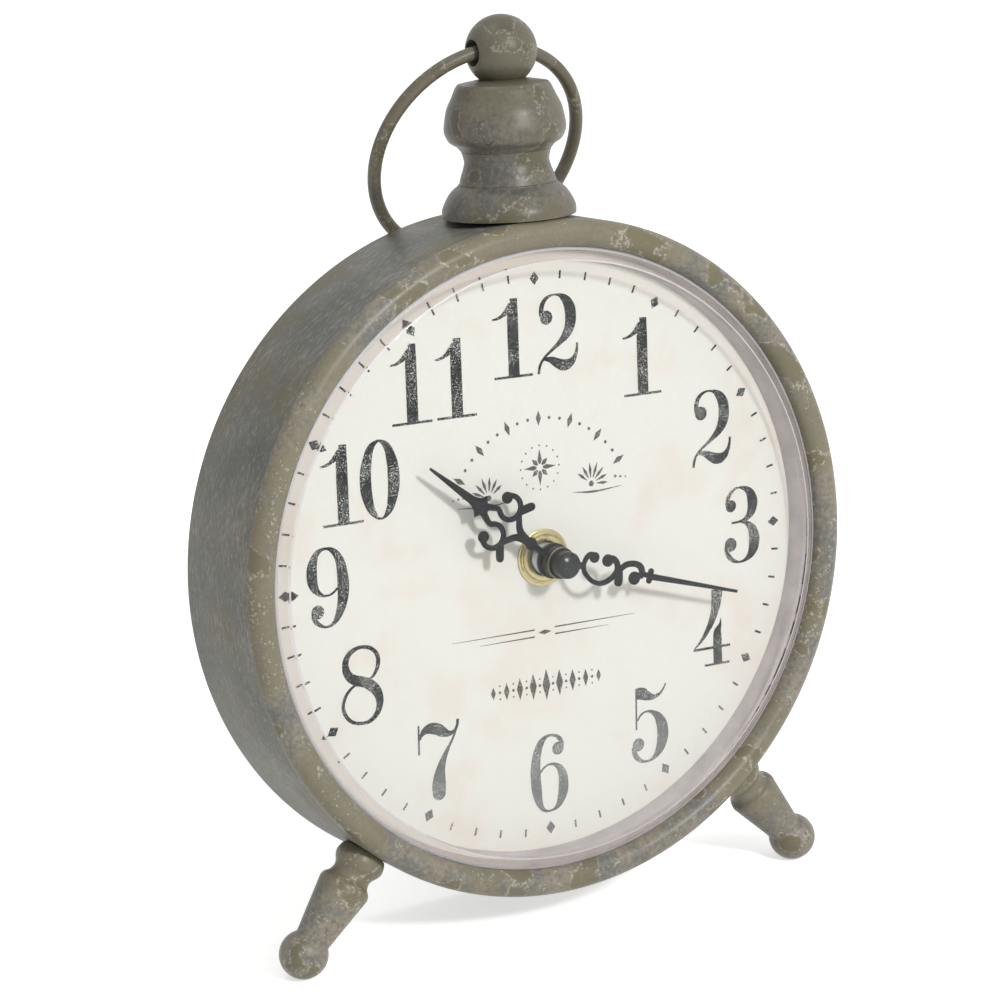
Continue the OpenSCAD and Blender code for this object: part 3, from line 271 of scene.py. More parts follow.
apex, glass_t, corner_r, corner_y = -10.2, 2.2, 75.6, -2.4
seat_r, glass_r, glass_back = 78.3, 84.7, 1.6
painted_edge_from, bevel_from, bevel_to = 75.5, 75.8, 78.1
dome_r = (corner_r ** 2 + (apex - corner_y) ** 2) / (2 * (corner_y - apex))
dome_y = apex + dome_r
half_dome = math.degrees(math.asin((corner_r - 0.4) / dome_r))
half_inner = math.degrees(math.asin(seat_r / (dome_r - glass_t)))
outside = arc((0, dome_y), dome_r, -90, -90 + half_dome, 24)
inside_dome = arc((0, dome_y), dome_r - glass_t, -90 + half_inner, -90, 24)
glass = turned(
    [(0, apex)] + outside[1:]
    + [(corner_r - 0.1, corner_y), (corner_r + 0.3, corner_y + 0.2), (bevel_to + 0.1, -0.62),
       (lip_r - 0.04, -0.1), (lip_r - 0.04, lip_back), (glass_r, lip_back), (glass_r, glass_back),
       (seat_r, glass_back)]
    + inside_dome[:-1] + [(0, apex + glass_t)], 192)
glass = settle(glass, "dome_glass", on_dial, panes["pressed_glass"], "case", "case_glass", "glass",
               crease=16)
glass.data.materials.append(panes["polished_bevel_painted_shade"])
glass.data.materials.append(ground)
# Faces beyond the dome's edge take the bevel's painted shade, and those on the arrises the painted
# highlight.
for face in glass.data.polygons:
    seen = back_to_case @ face.center
    from_axis = math.hypot(seen.x, seen.z)
    if from_axis > painted_edge_from and seen.y < lip_back - margin:
        face.material_index = 1 if bevel_from < from_axis < bevel_to else 2

# The spacer ring between the glass and the dial is spun from steel, with a flange at each end. Its
# wall flares to the front. It is painted pale grey-mauve, satin, with dark smudges from handling.
paint, spot = new_finish("satin_grey_paint")
cloud = add(paint, "TexNoise", {"Vector": spot, "Scale": 0.12, "Detail": 5, "Roughness": 0.6})
peel = add(paint, "TexNoise", {"Vector": spot, "Scale": 1.5, "Detail": 2})
smudge = add(paint, "MapRange", {"Value": cloud, "From Min": 0.3, "From Max": 0.7})
add(paint, "OutputMaterial", {"Surface": add(paint, "BsdfPrincipled", {
    "Base Color": add(paint, "Mix", {"Factor": smudge, "A": "#b3abaa", "B": "#cec6c4"}, data_type="RGBA"),
    "Roughness": add(paint, "MapRange", {
        "Value": cloud, "From Min": 0.3, "From Max": 0.7, "To Min": 0.28, "To Max": 0.42}),
    "Normal": add(paint, "Bump", {"Height": peel, "Strength": 0.15, "Distance": 0.00005})})})
mouth_r, throat_r, dial_y, plate_r = 78.25, 75.7, 7.0, 80.4
flange_back = glass_back + sheet
spacer = turned([
    (throat_r, dial_y), (throat_r, dial_y - 0.4), (mouth_r, glass_back), (glass_r, glass_back),
    (glass_r, flange_back), (mouth_r + 0.75, flange_back), (throat_r + 1.2, dial_y - sheet),
    (plate_r, dial_y - sheet), (plate_r, dial_y)], 192, 0.08)
settle(spacer, "spacer", on_dial, paint, "case", "spacer_paint", "spacer_ring")

# The dial is a disc of uncoated cream paper, glued to a steel plate. Its fibres mottle it slightly,
# and age has left faint warm stains. It keeps its CAD shape.
paper, spot = new_finish("uncoated_paper")
fibre = add(paper, "TexNoise", {"Vector": spot, "Scale": 1.1, "Detail": 6, "Roughness": 0.7})
stain = add(paper, "TexNoise", {"Vector": spot, "Scale": 0.055, "Detail": 4, "Roughness": 0.62})
tone = add(paper, "Mix", {"Factor": fibre, "A": "#e4e1d9", "B": "#efece5"}, data_type="RGBA")
warm = add(paper, "MapRange", {
    "Value": stain, "From Min": 0.5, "From Max": 0.68, "To Min": 0.0, "To Max": 0.7})
add(paper, "OutputMaterial", {"Surface": add(paper, "BsdfPrincipled", {
    "Base Color": add(paper, "Mix", {"Factor": warm, "A": tone, "B": "#e8dbd1"}, data_type="RGBA"),
    "Roughness": 0.9, "Specular IOR Level": 0.25,
    "Normal": add(paper, "Bump", {"Height": fibre, "Strength": 0.2, "Distance": 0.00004})})})
frame["nodes"]["dial_face"].data.materials.clear()
frame["nodes"]["dial_face"].data.materials.append(paper)

# Charcoal printing ink lies flat on the paper. It has worn off in small specks, down to the paper.
# Towards the foot of the dial it is painted paler, a painted reflection in the glass over the dial.
# The whole print is a little askew.
ink, spot = new_finish("worn_ink_and_painted_reflection")
grain = add(ink, "TexNoise", {"Vector": spot, "Scale": 3.0, "Detail": 2, "Roughness": 0.6})
thin = add(ink, "TexNoise", {"Vector": spot, "Scale": 0.13, "Detail": 2})
limit = add(ink, "MapRange", {
    "Value": thin, "From Min": 0.4, "From Max": 0.6, "To Min": 0.63, "To Max": 0.54})
gone = add(ink, "Math", {0: grain, 1: limit}, operation="SUBTRACT")
gone = add(ink, "MapRange", {"Value": gone, "From Min": 0.0, "From Max": 0.03})
# Painted paler towards the foot of the dial: a painted reflection in the glass.
painted_reflection = add(ink, "MapRange", {
    "Value": add(ink, "SeparateXYZ", {"Vector": spot}).outputs["Z"], "From Min": -33, "From Max": -52})
black = add(ink, "Mix", {"Factor": painted_reflection, "A": "#323434", "B": "#7c7c7b"}, data_type="RGBA")
add(ink, "OutputMaterial", {"Surface": add(ink, "BsdfPrincipled", {
    "Base Color": add(ink, "Mix", {"Factor": gone, "A": black, "B": "#dbd8d0"}, data_type="RGBA"),
    "Roughness": 0.75, "Specular IOR Level": 0.1})})

print_turn, ink_lift, dot_lift, stroke_lift = 1.3, 0.03, 0.012, 0.00005
on_print = (case_axes @ Matrix.Translation((0, dial_y - ink_lift, 0)) @ Matrix.Rotation(
    math.radians(print_turn), 4, "Y") @ Matrix.Rotation(math.pi / 2, 4, "X"))


def print_on_dial(name, finish, strokes, dots, swell):
    """Flat ink strokes, given as points of x, z and half a width, and round dots. A stroke is a
    curve's extrusion, turned on its side and widened by the radius of each knot."""
    pen = bpy.data.curves.new(name, "CURVE")
    pen.dimensions = "3D"
    pen.twist_mode = "Z_UP"
    pen.extrude = 1.0
    pen.resolution_u = 8
    for layer, points in enumerate(strokes):
        line = pen.splines.new("BEZIER")
        line.bezier_points.add(len(points) - 1)
        line.radius_interpolation = swell
        for knot, (x, z, half) in zip(line.bezier_points, points):
            knot.co = (x, z, stroke_lift * layer)
            knot.radius = half
            knot.tilt = math.pi / 2
            knot.handle_left_type = "AUTO"
            knot.handle_right_type = "AUTO"
    drawn = bpy.data.objects.new(name, pen)
    bpy.context.scene.collection.objects.link(drawn)
    mesh = bpy.data.meshes.new_from_object(drawn.evaluated_get(
        bpy.context.evaluated_depsgraph_get()))
    bpy.data.objects.remove(drawn)
    work = bmesh.new()
    work.from_mesh(mesh)
    bpy.data.meshes.remove(mesh)
    for x, z, radius in dots:
        bmesh.ops.create_circle(work, cap_ends=True, segments=28, radius=radius,
                                matrix=Matrix.Translation((x, z, dot_lift)))
    made = settle(work, name, on_print, finish, "case", "dial_paper")
    forward = on_print.to_3x3() @ Vector((0, 0, 1))
    for face in made.data.polygons:
        if face.normal.dot(forward) < 0:
            face.flip()


def moved(points, x, z):
    """Strokes or dots moved across the dial."""
    return [(px + x, pz + z, half) for px, pz, half in points]


# The numbers 1 to 12 stand upright, 20 mm high, in thick and thin strokes with ball ends. A digit is
# a list of strokes and a list of dots, about its own middle, and set_type puts it on the dial.
digits = {
    "0": ([[(-0.4, 8.85, 0.28), (-2.3, 7.6, 0.85), (-3.8, 4, 1.35), (-4.4, -0.8, 1.6),
            (-3.9, -5.5, 1.4), (-2.4, -9.2, 0.8), (-0.5, -10.6, 0.28), (1.5, -9.2, 0.8),
            (2.9, -5.5, 1.4), (3.4, -0.8, 1.65), (2.9, 4, 1.4), (1.4, 7.6, 0.85),
            (-0.4, 8.85, 0.28)]], []),
    "1": ([[(0.25, -9.3, 1.58), (0.23, -4, 1.58), (0.22, 3.0, 1.58), (0.3, 6.6, 1.5),
            (0.6, 8.6, 1.12), (0.65, 10.25, 1.06)],
           [(-5.6, 5.35, 0.22), (-4.2, 5.55, 0.34), (-2.7, 6.2, 0.5), (-1.4, 7.2, 0.75),
            (-0.2, 8.8, 0.7)],
           [(-5.5, -9.3, 0.32), (5.7, -9.3, 0.32)]], []),
    "2": ([[(-3.55, 3.7, 0.7), (-3.75, 5.4, 0.68), (-3.1, 7.5, 0.6), (-1.3, 8.9, 0.36),
            (0.8, 9.1, 0.28), (2.8, 8.2, 0.95), (4.3, 6.2, 1.5), (4.75, 3.6, 1.6),
            (4.4, 1.0, 1.5), (3.2, -1.2, 1.15), (1.4, -2.95, 0.7), (-1.0, -4.7, 0.4),
            (-3.2, -6.4, 0.36), (-4.5, -8.2, 0.38), (-5.0, -10.3, 0.38)],
           [(-3.3, -6.7, 0.4), (-1.3, -7.1, 0.85), (0.6, -8.1, 1.25), (2.4, -8.75, 1.42),
            (4.2, -8.4, 1.15), (5.6, -7.0, 0.65), (6.3, -5.2, 0.4), (6.45, -3.5, 0.34)]],
          [(-2.35, 3.6, 1.8)]),
    "3": ([[(-4.6, 4.9, 0.6), (-4.7, 6.4, 0.6), (-3.6, 8.5, 0.5), (-1.6, 9.75, 0.3),
            (0.2, 9.5, 0.5), (1.9, 8.6, 1.0), (3.0, 6.6, 1.5), (3.1, 4.4, 1.5),
            (2.3, 2.4, 1.1), (0.8, 1.2, 0.6), (-0.9, 0.75, 0.33), (-3.5, 0.6, 0.27)],
           [(-0.9, 0.75, 0.28), (0.9, 0.2, 0.55), (2.4, -1.0, 1.1), (3.4, -3.2, 1.6),
            (3.45, -5.4, 1.65), (2.8, -7.6, 1.3), (1.3, -9.2, 0.7), (-0.8, -9.95, 0.3),
            (-2.7, -9.6, 0.5), (-4.4, -8.2, 0.7), (-5.2, -6.4, 0.7), (-5.0, -4.9, 0.65)]],
          [(-3.6, 5.1, 1.6), (-3.9, -5.1, 1.85)]),
    "4": ([[(1.5, 10.2, 1.75), (1.35, 8.2, 1.6), (0.9, 5.5, 1.35), (0.0, 2.8, 1.05),
            (-1.3, 0.3, 0.8), (-3.2, -2.3, 0.5), (-5.9, -4.9, 0.22)],
           [(-6.2, -5.1, 0.34), (5.3, -5.1, 0.34)],
           [(1.35, -9.6, 1.35), (1.35, -3.0, 1.32), (1.45, -0.9, 1.12), (2.2, 0.6, 0.5),
            (2.55, 2.4, 0.1)],
           [(-2.8, -9.6, 0.3), (5.0, -9.6, 0.3)]], []),
    "5": ([[(-3.4, 8.2, 1.4), (-1.4, 8.0, 1.6), (0.2, 7.2, 1.25), (1.9, 6.7, 0.75),
            (3.6, 7.0, 0.45), (4.9, 8.0, 0.3), (5.95, 9.7, 0.2)],
           [(-3.2, 9.5, 0.25), (-3.25, 4, 0.25), (-3.35, -1.4, 0.25)],
           [(-3.0, 1.0, 0.25), (-1.6, 2.6, 0.28), (0.3, 3.05, 0.3), (2.3, 2.2, 0.75),
            (3.9, 0.3, 1.4), (4.7, -2.6, 1.7), (4.3, -5.8, 1.55), (3.1, -8.2, 1.05),
            (1.2, -9.8, 0.5), (-0.6, -10.2, 0.3), (-2.6, -9.5, 0.6), (-4.0, -7.8, 0.75),
            (-4.3, -5.9, 0.7)]],
          [(-2.85, -5.4, 1.75)]),
    "6": ([[(3.75, 5.9, 0.7), (3.9, 7.2, 0.65), (3.0, 8.7, 0.55), (1.2, 9.5, 0.35),
            (-0.4, 9.4, 0.45), (-2.0, 8.2, 0.9), (-3.3, 5.6, 1.2), (-3.95, 2, 1.4),
            (-4.0, -1.5, 1.5), (-3.7, -5, 1.4), (-2.9, -8.2, 0.9), (-1.6, -9.9, 0.45),
            (0.2, -10.2, 0.3), (1.9, -9.6, 0.6), (3.5, -7.2, 1.25), (4.2, -3.6, 1.45),
            (3.7, -0.4, 1.15), (2.4, 1.3, 0.65), (0.4, 2.0, 0.3), (-1.4, 1.4, 0.28),
            (-2.6, 0.2, 0.3)]],
          [(2.8, 5.8, 1.7)]),
    "7": ([[(-4.35, 9.3, 0.25), (-4.5, 1.7, 0.27)],
           [(-4.2, 5.6, 0.3), (-3.2, 7.2, 0.75), (-1.4, 8.0, 1.3), (0.6, 7.7, 1.5),
            (2.4, 6.7, 1.35), (4.2, 5.95, 0.75), (5.6, 6.3, 0.45), (6.5, 7.4, 0.4),
            (6.9, 9.3, 0.4)],
           [(6.7, 7.9, 0.36), (5.3, 4.6, 0.32), (3.8, 2.2, 0.5), (2.3, -0.6, 0.9),
            (1.3, -3.6, 1.45), (0.9, -6.6, 1.95), (0.85, -8.9, 1.85)]],
          [(0.85, -8.9, 1.87)]),
    "8": ([[(-0.4, 9.3, 0.45), (-2.9, 8.6, 0.6), (-4.6, 6.9, 0.78), (-5.0, 4.7, 0.95),
            (-4.2, 2.5, 1.15), (-2.4, 1.1, 1.3), (0, 0.3, 1.35), (2.2, -1.1, 1.4),
            (3.8, -3.4, 1.2), (4.0, -6, 0.95), (2.9, -8.4, 0.7), (0.9, -9.8, 0.5),
            (-0.8, -10.0, 0.42)],
           [(-0.4, 9.3, 0.45), (2.2, 8.5, 0.5), (3.8, 6.7, 0.55), (4.0, 4.4, 0.58),
            (3.1, 2.2, 0.45), (1.6, 0.8, 0.33)],
           [(-1.8, 0.2, 0.33), (-3.8, -0.9, 0.36), (-5.4, -2.8, 0.45), (-6.1, -5.2, 0.5),
            (-5.2, -7.8, 0.5), (-3.2, -9.5, 0.45), (-0.8, -10.0, 0.42)]], []),
    "9": ([[(2.8, -0.6, 0.3), (1.2, -1.8, 0.3), (-0.6, -2.1, 0.3), (-2.3, -1.4, 0.65),
            (-3.7, 0.6, 1.2), (-4.1, 3.6, 1.45), (-3.6, 6.6, 1.15), (-2.2, 8.8, 0.7),
            (-0.2, 9.5, 0.35), (1.9, 8.7, 0.75), (3.5, 6.4, 1.15), (4.2, 3.0, 1.45),
            (4.35, -0.5, 1.6), (4.0, -3.8, 1.4), (3.0, -6.8, 1.05), (1.5, -9.0, 0.6),
            (-0.4, -9.85, 0.3), (-2.4, -9.2, 0.5), (-3.8, -7.7, 0.7), (-4.1, -6.1, 0.65)]],
          [(-2.9, -5.9, 1.75)]),
}
set_type = [
    ("1", -6.8, 56.0), ("2", 5.5, 56.85), ("1", 31, 47.5), ("2", 51, 27.5), ("3", 61, 0.5),
    ("4", 51, -26), ("5", 30, -48), ("6", 0, -56), ("7", -33, -47), ("8", -52, -24.5),
    ("9", -61, 1), ("1", -56, 25.2), ("0", -45, 26.5), ("1", -35.9, 47.7), ("1", -23.3, 47.8)]
strokes, dots = [], []
for digit, x, z in set_type:
    strokes += [moved(line, x, z) for line in digits[digit][0]]
    dots += moved(digits[digit][1], x, z)
print_on_dial("printed_numbers", ink, strokes, dots, "CARDINAL")

# The minute track is printed in the same ink near the edge of the dial, with a dash for each minute
# and a diamond for each fifth one.
track_r, dash_half, diamond_r, diamond_half = 71.3, 1.0, 70.6, 1.7
strokes = []
for minute in range(60):
    turn = math.radians(6 * minute)
    across, up = math.sin(turn), math.cos(turn)
    if minute % 5:
        marks = [(track_r - dash_half, 0.27), (track_r + dash_half, 0.27)]
    else:
        marks = [(diamond_r - diamond_half, 0.05), (diamond_r, 1.3),
                 (diamond_r + diamond_half, 0.05)]
    strokes.append([(r * across, r * up, half) for r, half in marks])
print_on_dial("printed_minute_track", ink, strokes, [], "LINEAR")

# Two plain ornaments are printed in a thinner, warm grey ink that covers the paper less: beads on an
# arc over a star between two fans, and a band of lozenges under two pairs of lines.
grey_ink, spot = new_finish("thin_grey_ink")
grain = add(grey_ink, "TexNoise", {"Vector": spot, "Scale": 2.2, "Detail": 3, "Roughness": 0.7})
gone = add(grey_ink, "MapRange", {"Value": grain, "From Min": 0.56, "From Max": 0.66})
add(grey_ink, "OutputMaterial", {"Surface": add(grey_ink, "BsdfPrincipled", {
    "Base Color": add(grey_ink, "Mix", {"Factor": gone, "A": "#625e5a", "B": "#bcb7b0"}, data_type="RGBA"),
    "Roughness": 0.8, "Specular IOR Level": 0.3})})
strokes, dots = [], []
bow_r, bow_z, star_z, fan_x, fan_z, band_z, band_step = 27.0, 8.5, 23, 15, 17, -33, 3.9
for i in range(-9, 10):
    turn = math.radians(6.6 * i)
    across, up = math.sin(turn), math.cos(turn)
    if i % 3:
        dots.append((bow_r * across, bow_z + bow_r * up, 0.42))
    else:
        strokes.append([((bow_r + h) * across, bow_z + (bow_r + h) * up, w)
                        for h, w in ((-1.9, 0.04), (0, 0.75), (1.9, 0.04))])
for i in range(8):
    turn = math.radians(45 * i)
    reach = 4.6 if i % 2 == 0 else 3.1
    strokes.append([(h * math.sin(turn), star_z + h * math.cos(turn), w)
                    for h, w in ((0.9, 0.25), (1.9, 0.62), (reach, 0.04))])
dots += [(x, star_z + z, 0.24) for x, z in arc((0, 0), 5.6, 90, -247.5, 15)]
for side in (-1, 1):
    for i in range(-3, 4):
        turn = math.radians(24 * i) + side * 0.35
        strokes.append([(side * fan_x + h * math.sin(turn), fan_z + h * math.cos(turn), w)
                        for h, w in ((1.6, 0.1), (3.6, 0.42), (5.6 - 0.25 * abs(i), 0.05))])
    strokes.append([(side * 9.5, 15.4, 0.05), (side * fan_x, 14.9, 0.3), (side * 24, 15.4, 0.05)])
    dots.append((side * fan_x, fan_z, 0.75))
    for i in range(3):
        dots.append((side * (22.2 + 1.5 * i), fan_z + 1 - 0.2 * i, 0.4 - 0.08 * i))
for z, half_w in ((-18.4, 27), (-20.2, 19)):
    strokes += [[(-half_w, z, 0.05), (-3, z, 0.2)], [(3, z, 0.2), (half_w, z, 0.05)]]
strokes.append([(-1.9, -19.3, 0.04), (0, -19.3, 0.6), (1.9, -19.3, 0.04)])
for i in range(-4, 5):
    tall = 4.0 - 0.6 * abs(i)
    strokes.append([(band_step * i, band_z - tall, 0.04), (band_step * i, band_z, 1.15 - 0.12 * abs(i)),
                    (band_step * i, band_z + tall, 0.04)])
    if i < 4:
        between = band_step * (i + 0.5)
        dots += [(between, band_z, 0.38), (between, band_z + 1.7, 0.24), (between, band_z - 1.7, 0.24)]
print_on_dial("printed_ornaments", grey_ink, strokes, dots, "LINEAR")

# A round washer and a round nut clamp the movement to the dial. They are turned from pale brass, and
# the lathe tool left fine rings on them, 0.35 mm apart.
brass, spot = new_finish("turned_brass")
rings = add(brass, "TexWave", {"Vector": spot, "Scale": 0.9}, wave_type="RINGS", rings_direction="Y")
tarnish = add(brass, "TexNoise", {"Vector": spot, "Scale": 0.5, "Detail": 4})
add(brass, "OutputMaterial", {"Surface": add(brass, "BsdfPrincipled", {
    "Base Color": add(brass, "Mix", {"Factor": tarnish, "A": "#a69970", "B": "#c4b78e"}, data_type="RGBA"),
    "Metallic": 1.0,
    "Roughness": add(brass, "MapRange", {
        "Value": tarnish, "From Min": 0.3, "From Max": 0.7, "To Min": 0.24, "To Max": 0.36}),
    "Normal": add(brass, "Bump", {"Height": rings, "Strength": 0.06, "Distance": 0.00004})})})
bore, washer_r, washer_front, nut_r, nut_front = 4.06, 7.3, 6.5, 6.1, 5.4
groove_r, sink_r = 6.42, 4.5
washer = turned([
    (bore, dial_y), (washer_r, dial_y), (washer_r, washer_front + 0.12), (washer_r - 0.3, washer_front),
    (groove_r + 0.08, washer_front), (groove_r, washer_front + 0.06), (groove_r - 0.12, washer_front),
    (bore, washer_front)], 96, 0.05)
settle(washer, "brass_washer", on_dial, brass, "case", "hub_brass", "dial_washer")
nut = turned([
    (bore, washer_front), (nut_r, washer_front), (nut_r, nut_front + 0.5), (nut_r - 0.4, nut_front),
    (sink_r, nut_front), (bore, nut_front + 0.3)], 96, 0.06)
settle(nut, "brass_nut", on_dial, brass, "case", "hub_brass", "dial_nut")

# The movement's bush comes through the dial and carries the nut. It is bright zinc-plated steel, with
# a rolled thread of 0.75 mm pitch and a flange behind the dial's plate.
zinc, spot = new_finish("bright_zinc_plate")
cloud = add(zinc, "TexNoise", {"Vector": spot, "Scale": 0.35, "Detail": 5, "Roughness": 0.65})
fine = add(zinc, "TexNoise", {"Vector": spot, "Scale": 3.0, "Detail": 2})
add(zinc, "OutputMaterial", {"Surface": add(zinc, "BsdfPrincipled", {
    "Base Color": add(zinc, "Mix", {"Factor": cloud, "A": "#8f9192", "B": "#b4b6b7"}, data_type="RGBA"),
    "Metallic": 1.0,
    "Roughness": add(zinc, "MapRange", {
        "Value": cloud, "From Min": 0.3, "From Max": 0.7, "To Min": 0.24, "To Max": 0.4}),
    "Normal": add(zinc, "Bump", {"Height": fine, "Strength": 0.1, "Distance": 0.00003})})})
bush_r, bush_inner_r, bush_front, flange_y, flange_r, pitch = 4.0, 3.0, 2.6, 11.9, 5.5, 0.75
thread = []
for i in range(12):
    thread += [(bush_r, 2.95 + pitch * i), (bush_r - 0.3, 3.32 + pitch * i)]
bush = turned(
    [(bush_inner_r, bush_front), (bush_r - 0.25, bush_front)] + thread
    + [(bush_r, flange_y), (flange_r, flange_y), (flange_r, flange_y + 1), (bush_inner_r, flange_y + 1)],
    72)
settle(bush, "threaded_bush", on_dial, zinc, "case", "bush_steel", "centre_bush")

# The hands are stamped from sheet steel and painted satin black, pressed on round collets. The
# front rim of the minute hand's brass collet is rubbed bright.
hand_paint, spot = new_finish("satin_black_paint")
peel = add(hand_paint, "TexNoise", {"Vector": spot, "Scale": 2.5, "Detail": 2})
dust = add(hand_paint, "TexNoise", {"Vector": spot, "Scale": 0.4, "Detail": 5, "Roughness": 0.7})
add(hand_paint, "OutputMaterial", {"Surface": add(hand_paint, "BsdfPrincipled", {
    "Base Color": add(hand_paint, "Mix", {"Factor": dust, "A": "#1c1c1e", "B": "#303032"},
                      data_type="RGBA"),
    "Roughness": add(hand_paint, "MapRange", {
        "Value": dust, "From Min": 0.3, "From Max": 0.7, "To Min": 0.3, "To Max": 0.45}),
    "Specular IOR Level": 0.2,
    "Normal": add(hand_paint, "Bump", {"Height": peel, "Strength": 0.1, "Distance": 0.00004})})})


def eased_copy(node, edge):
    """A copy of a CAD node, its loose triangles joined and its sharp edges eased."""
    work = bmesh.new()
    work.from_mesh(frame["nodes"][node].data)
    work.transform(Matrix.Scale(1000, 4))
    bmesh.ops.remove_doubles(work, verts=work.verts, dist=0.001)
    bmesh.ops.dissolve_limit(work, angle_limit=math.radians(0.5), verts=work.verts,
                             edges=work.edges)
    ease(work, edge)
    return work


as_packed = Matrix.Scale(0.001, 4)
settle(eased_copy("hour_hand", 0.07), "hour_hand_painted", as_packed, hand_paint, "hour_shaft",
       "hand_black", "hour_hand")
settle(eased_copy("minute_hand", 0.07), "minute_hand_painted", as_packed, hand_paint,
       "minute_shaft", "hand_black", "minute_hand")
collet_edge, worn_r = (3.96, -2.15), 0.07
worn_rim = turned(arc(collet_edge, worn_r, 0, 330, 11), 96)
settle(worn_rim, "worn_collet_rim", on_dial, brass, "minute_shaft", "hub_brass")

# A closed nut on the end of the spindle holds the minute hand. It is turned brass with a domed front,
# under glossy black enamel.
enamel, spot = new_finish("glossy_black_enamel")
peel = add(enamel, "TexNoise", {"Vector": spot, "Scale": 0.9, "Detail": 2})
add(enamel, "OutputMaterial", {"Surface": add(enamel, "BsdfPrincipled", {
    "Base Color": add(enamel, "Mix", {"Factor": peel, "A": "#141416", "B": "#232326"}, data_type="RGBA"),
    "Roughness": 0.26, "Specular IOR Level": 0.4,
    "Normal": add(enamel, "Bump", {"Height": peel, "Strength": 0.1, "Distance": 0.00005})})})
cap_r, cap_front, cap_back, cap_rise, cap_bore, cap_floor = 3.4, -7.0, -2.2, 1.3, 1.9, -6.0
crown_r = (cap_r ** 2 + cap_rise ** 2) / (2 * cap_rise)
half_crown = math.degrees(math.asin(cap_r / crown_r))
cap = turned(arc((0, cap_front + crown_r), crown_r, -90, -90 + half_crown, 12)
             + [(cap_r, cap_back), (cap_bore, cap_back), (cap_bore, cap_floor), (0, cap_floor)],
             72, 0.15)
settle(cap, "domed_nut", on_dial, enamel, "minute_shaft", "cap_black", "cap_nut")

# The finial: three turned steel pieces and a pierced ball, threaded on a rod. They and the ring were
# lacquered darker than the drum, in the same grey with the same brown glaze.


def flowing(points, steps):
    """A smooth line through points."""
    line = []
    ways = [Vector(p).to_3d() for p in points]
    for i in range(len(ways) - 1):
        a, b = ways[i], ways[i + 1]
        before, after = ways[max(i - 1, 0)], ways[min(i + 2, len(ways) - 1)]
        line += interpolate_bezier(a, a + (b - before) / 6, b - (after - a) / 6, b, steps + 1)[:-1]
    return [p.to_tuple()[:2] for p in line + [ways[-1]]]


dark_lacquer = lacquer.copy()
dark_lacquer.name = "dark_rubbed_lacquer"
dark_lacquer.node_tree.nodes[depth.name].inputs["Scale"].default_value = 0.66
seat_gap, finial_y, rod_hole = 0.06, 14.3, 2.06
finial_z = case_r + seat_gap
on_finial = case_axes @ Matrix.Translation((0, finial_y, 0))
collar_r, collar_h = 16.7, 8.1
collar_line = [(collar_r * r, collar_h * h) for r, h in
               ((1, 0.02), (1, 0.23), (0.958, 0.457), (0.868, 0.753), (0.743, 0.975))]
collar = turned([(rod_hole, 0), (collar_r, 0)] + flowing(collar_line, 6)
                + [(collar_r * 0.743, collar_h), (rod_hole, collar_h)], 128, 0.12)
settle(collar, "finial_collar", on_finial @ Matrix.Translation((0, 0, finial_z)), dark_lacquer,
       "case", "turned_steel", "finial_foot")
waist_r, waist_h = 12.1, 8.2
waist_line = [(waist_r * r, waist_h * h) for r, h in
              ((1, 0), (0.959, 0.244), (0.909, 0.451), (0.876, 0.659), (0.9, 0.87), (0.93, 1))]
waist = turned([(rod_hole, 0)] + flowing(waist_line, 6) + [(rod_hole, waist_h)], 128, 0.12)
waist_z = finial_z + collar_h
settle(waist, "finial_neck", on_finial @ Matrix.Translation((0, 0, waist_z)), dark_lacquer, "case",
       "turned_steel", "finial_waist")
bulb_r, bulb_h = 15.2, 17.5
bulb_line = [(bulb_r * r, bulb_h * h) for r, h in
             ((0.74, 0), (0.809, 0.069), (0.908, 0.123), (0.967, 0.194), (1, 0.291),
              (0.987, 0.417), (0.941, 0.6), (0.855, 0.757), (0.789, 0.886))]
bulb = turned([(rod_hole, 0)] + flowing(bulb_line, 6)
              + [(bulb_r * 0.744, bulb_h * 0.94), (bulb_r * 0.372, bulb_h), (rod_hole, bulb_h)],
              128, 0.12)
bulb_z = waist_z + waist_h
settle(bulb, "finial_dome", on_finial @ Matrix.Translation((0, 0, bulb_z)), dark_lacquer, "case",
       "turned_steel", "finial_bulb")
ball_r, hole_r, ball_cut = 8.93, 3.2, 6.85
ball_z = bulb_z + bulb_h + ball_cut
mouth = math.degrees(math.asin(hole_r / ball_r))
ball = turned(arc((0, 0), ball_r, mouth - 90, 90 - mouth, 48)
              + [(ball_r * math.sin(math.radians(mouth)), 0)], 96, 0.35)
ball.transform(Matrix.Rotation(math.pi / 2, 4, "Y"))
bmesh.ops.bisect_plane(ball, geom=ball.verts[:] + ball.edges[:] + ball.faces[:], dist=0.0001,
                       plane_co=(0, 0, -ball_cut), plane_no=(0, 0, -1), clear_outer=True)
bmesh.ops.edgeloop_fill(ball, edges=[e for e in ball.edges if e.is_boundary])
settle(ball, "finial_top_ball", on_finial @ Matrix.Translation((0, 0, ball_z)), dark_lacquer, "case",
       "turned_steel", "finial_ball")

# The hanging ring is bent from drawn steel wire and welded. It hangs loose in the ball's hole, a
# little askew, and leans back against the drum's rear edge.
ring_r, wire_r, ring_lean, ring_skew, ring_lift = 28.7, 1.7, 25.7, 3, 0.6
ring = turned(arc((ring_r, 0), wire_r, 0, 345, 23), 192)
on_ring = (on_finial @ Matrix.Translation((0, 0, ball_z))
           @ Matrix.Rotation(math.radians(ring_lean), 4, "X")
           @ Matrix.Rotation(math.radians(ring_skew), 4, "Y")
           @ Matrix.Translation((0, 0, ring_lift - ring_r)) @ Matrix.Rotation(math.pi / 2, 4, "X"))
settle(ring, "wire_ring", on_ring, dark_lacquer, "ring", "ring_steel", "hanging_ring")

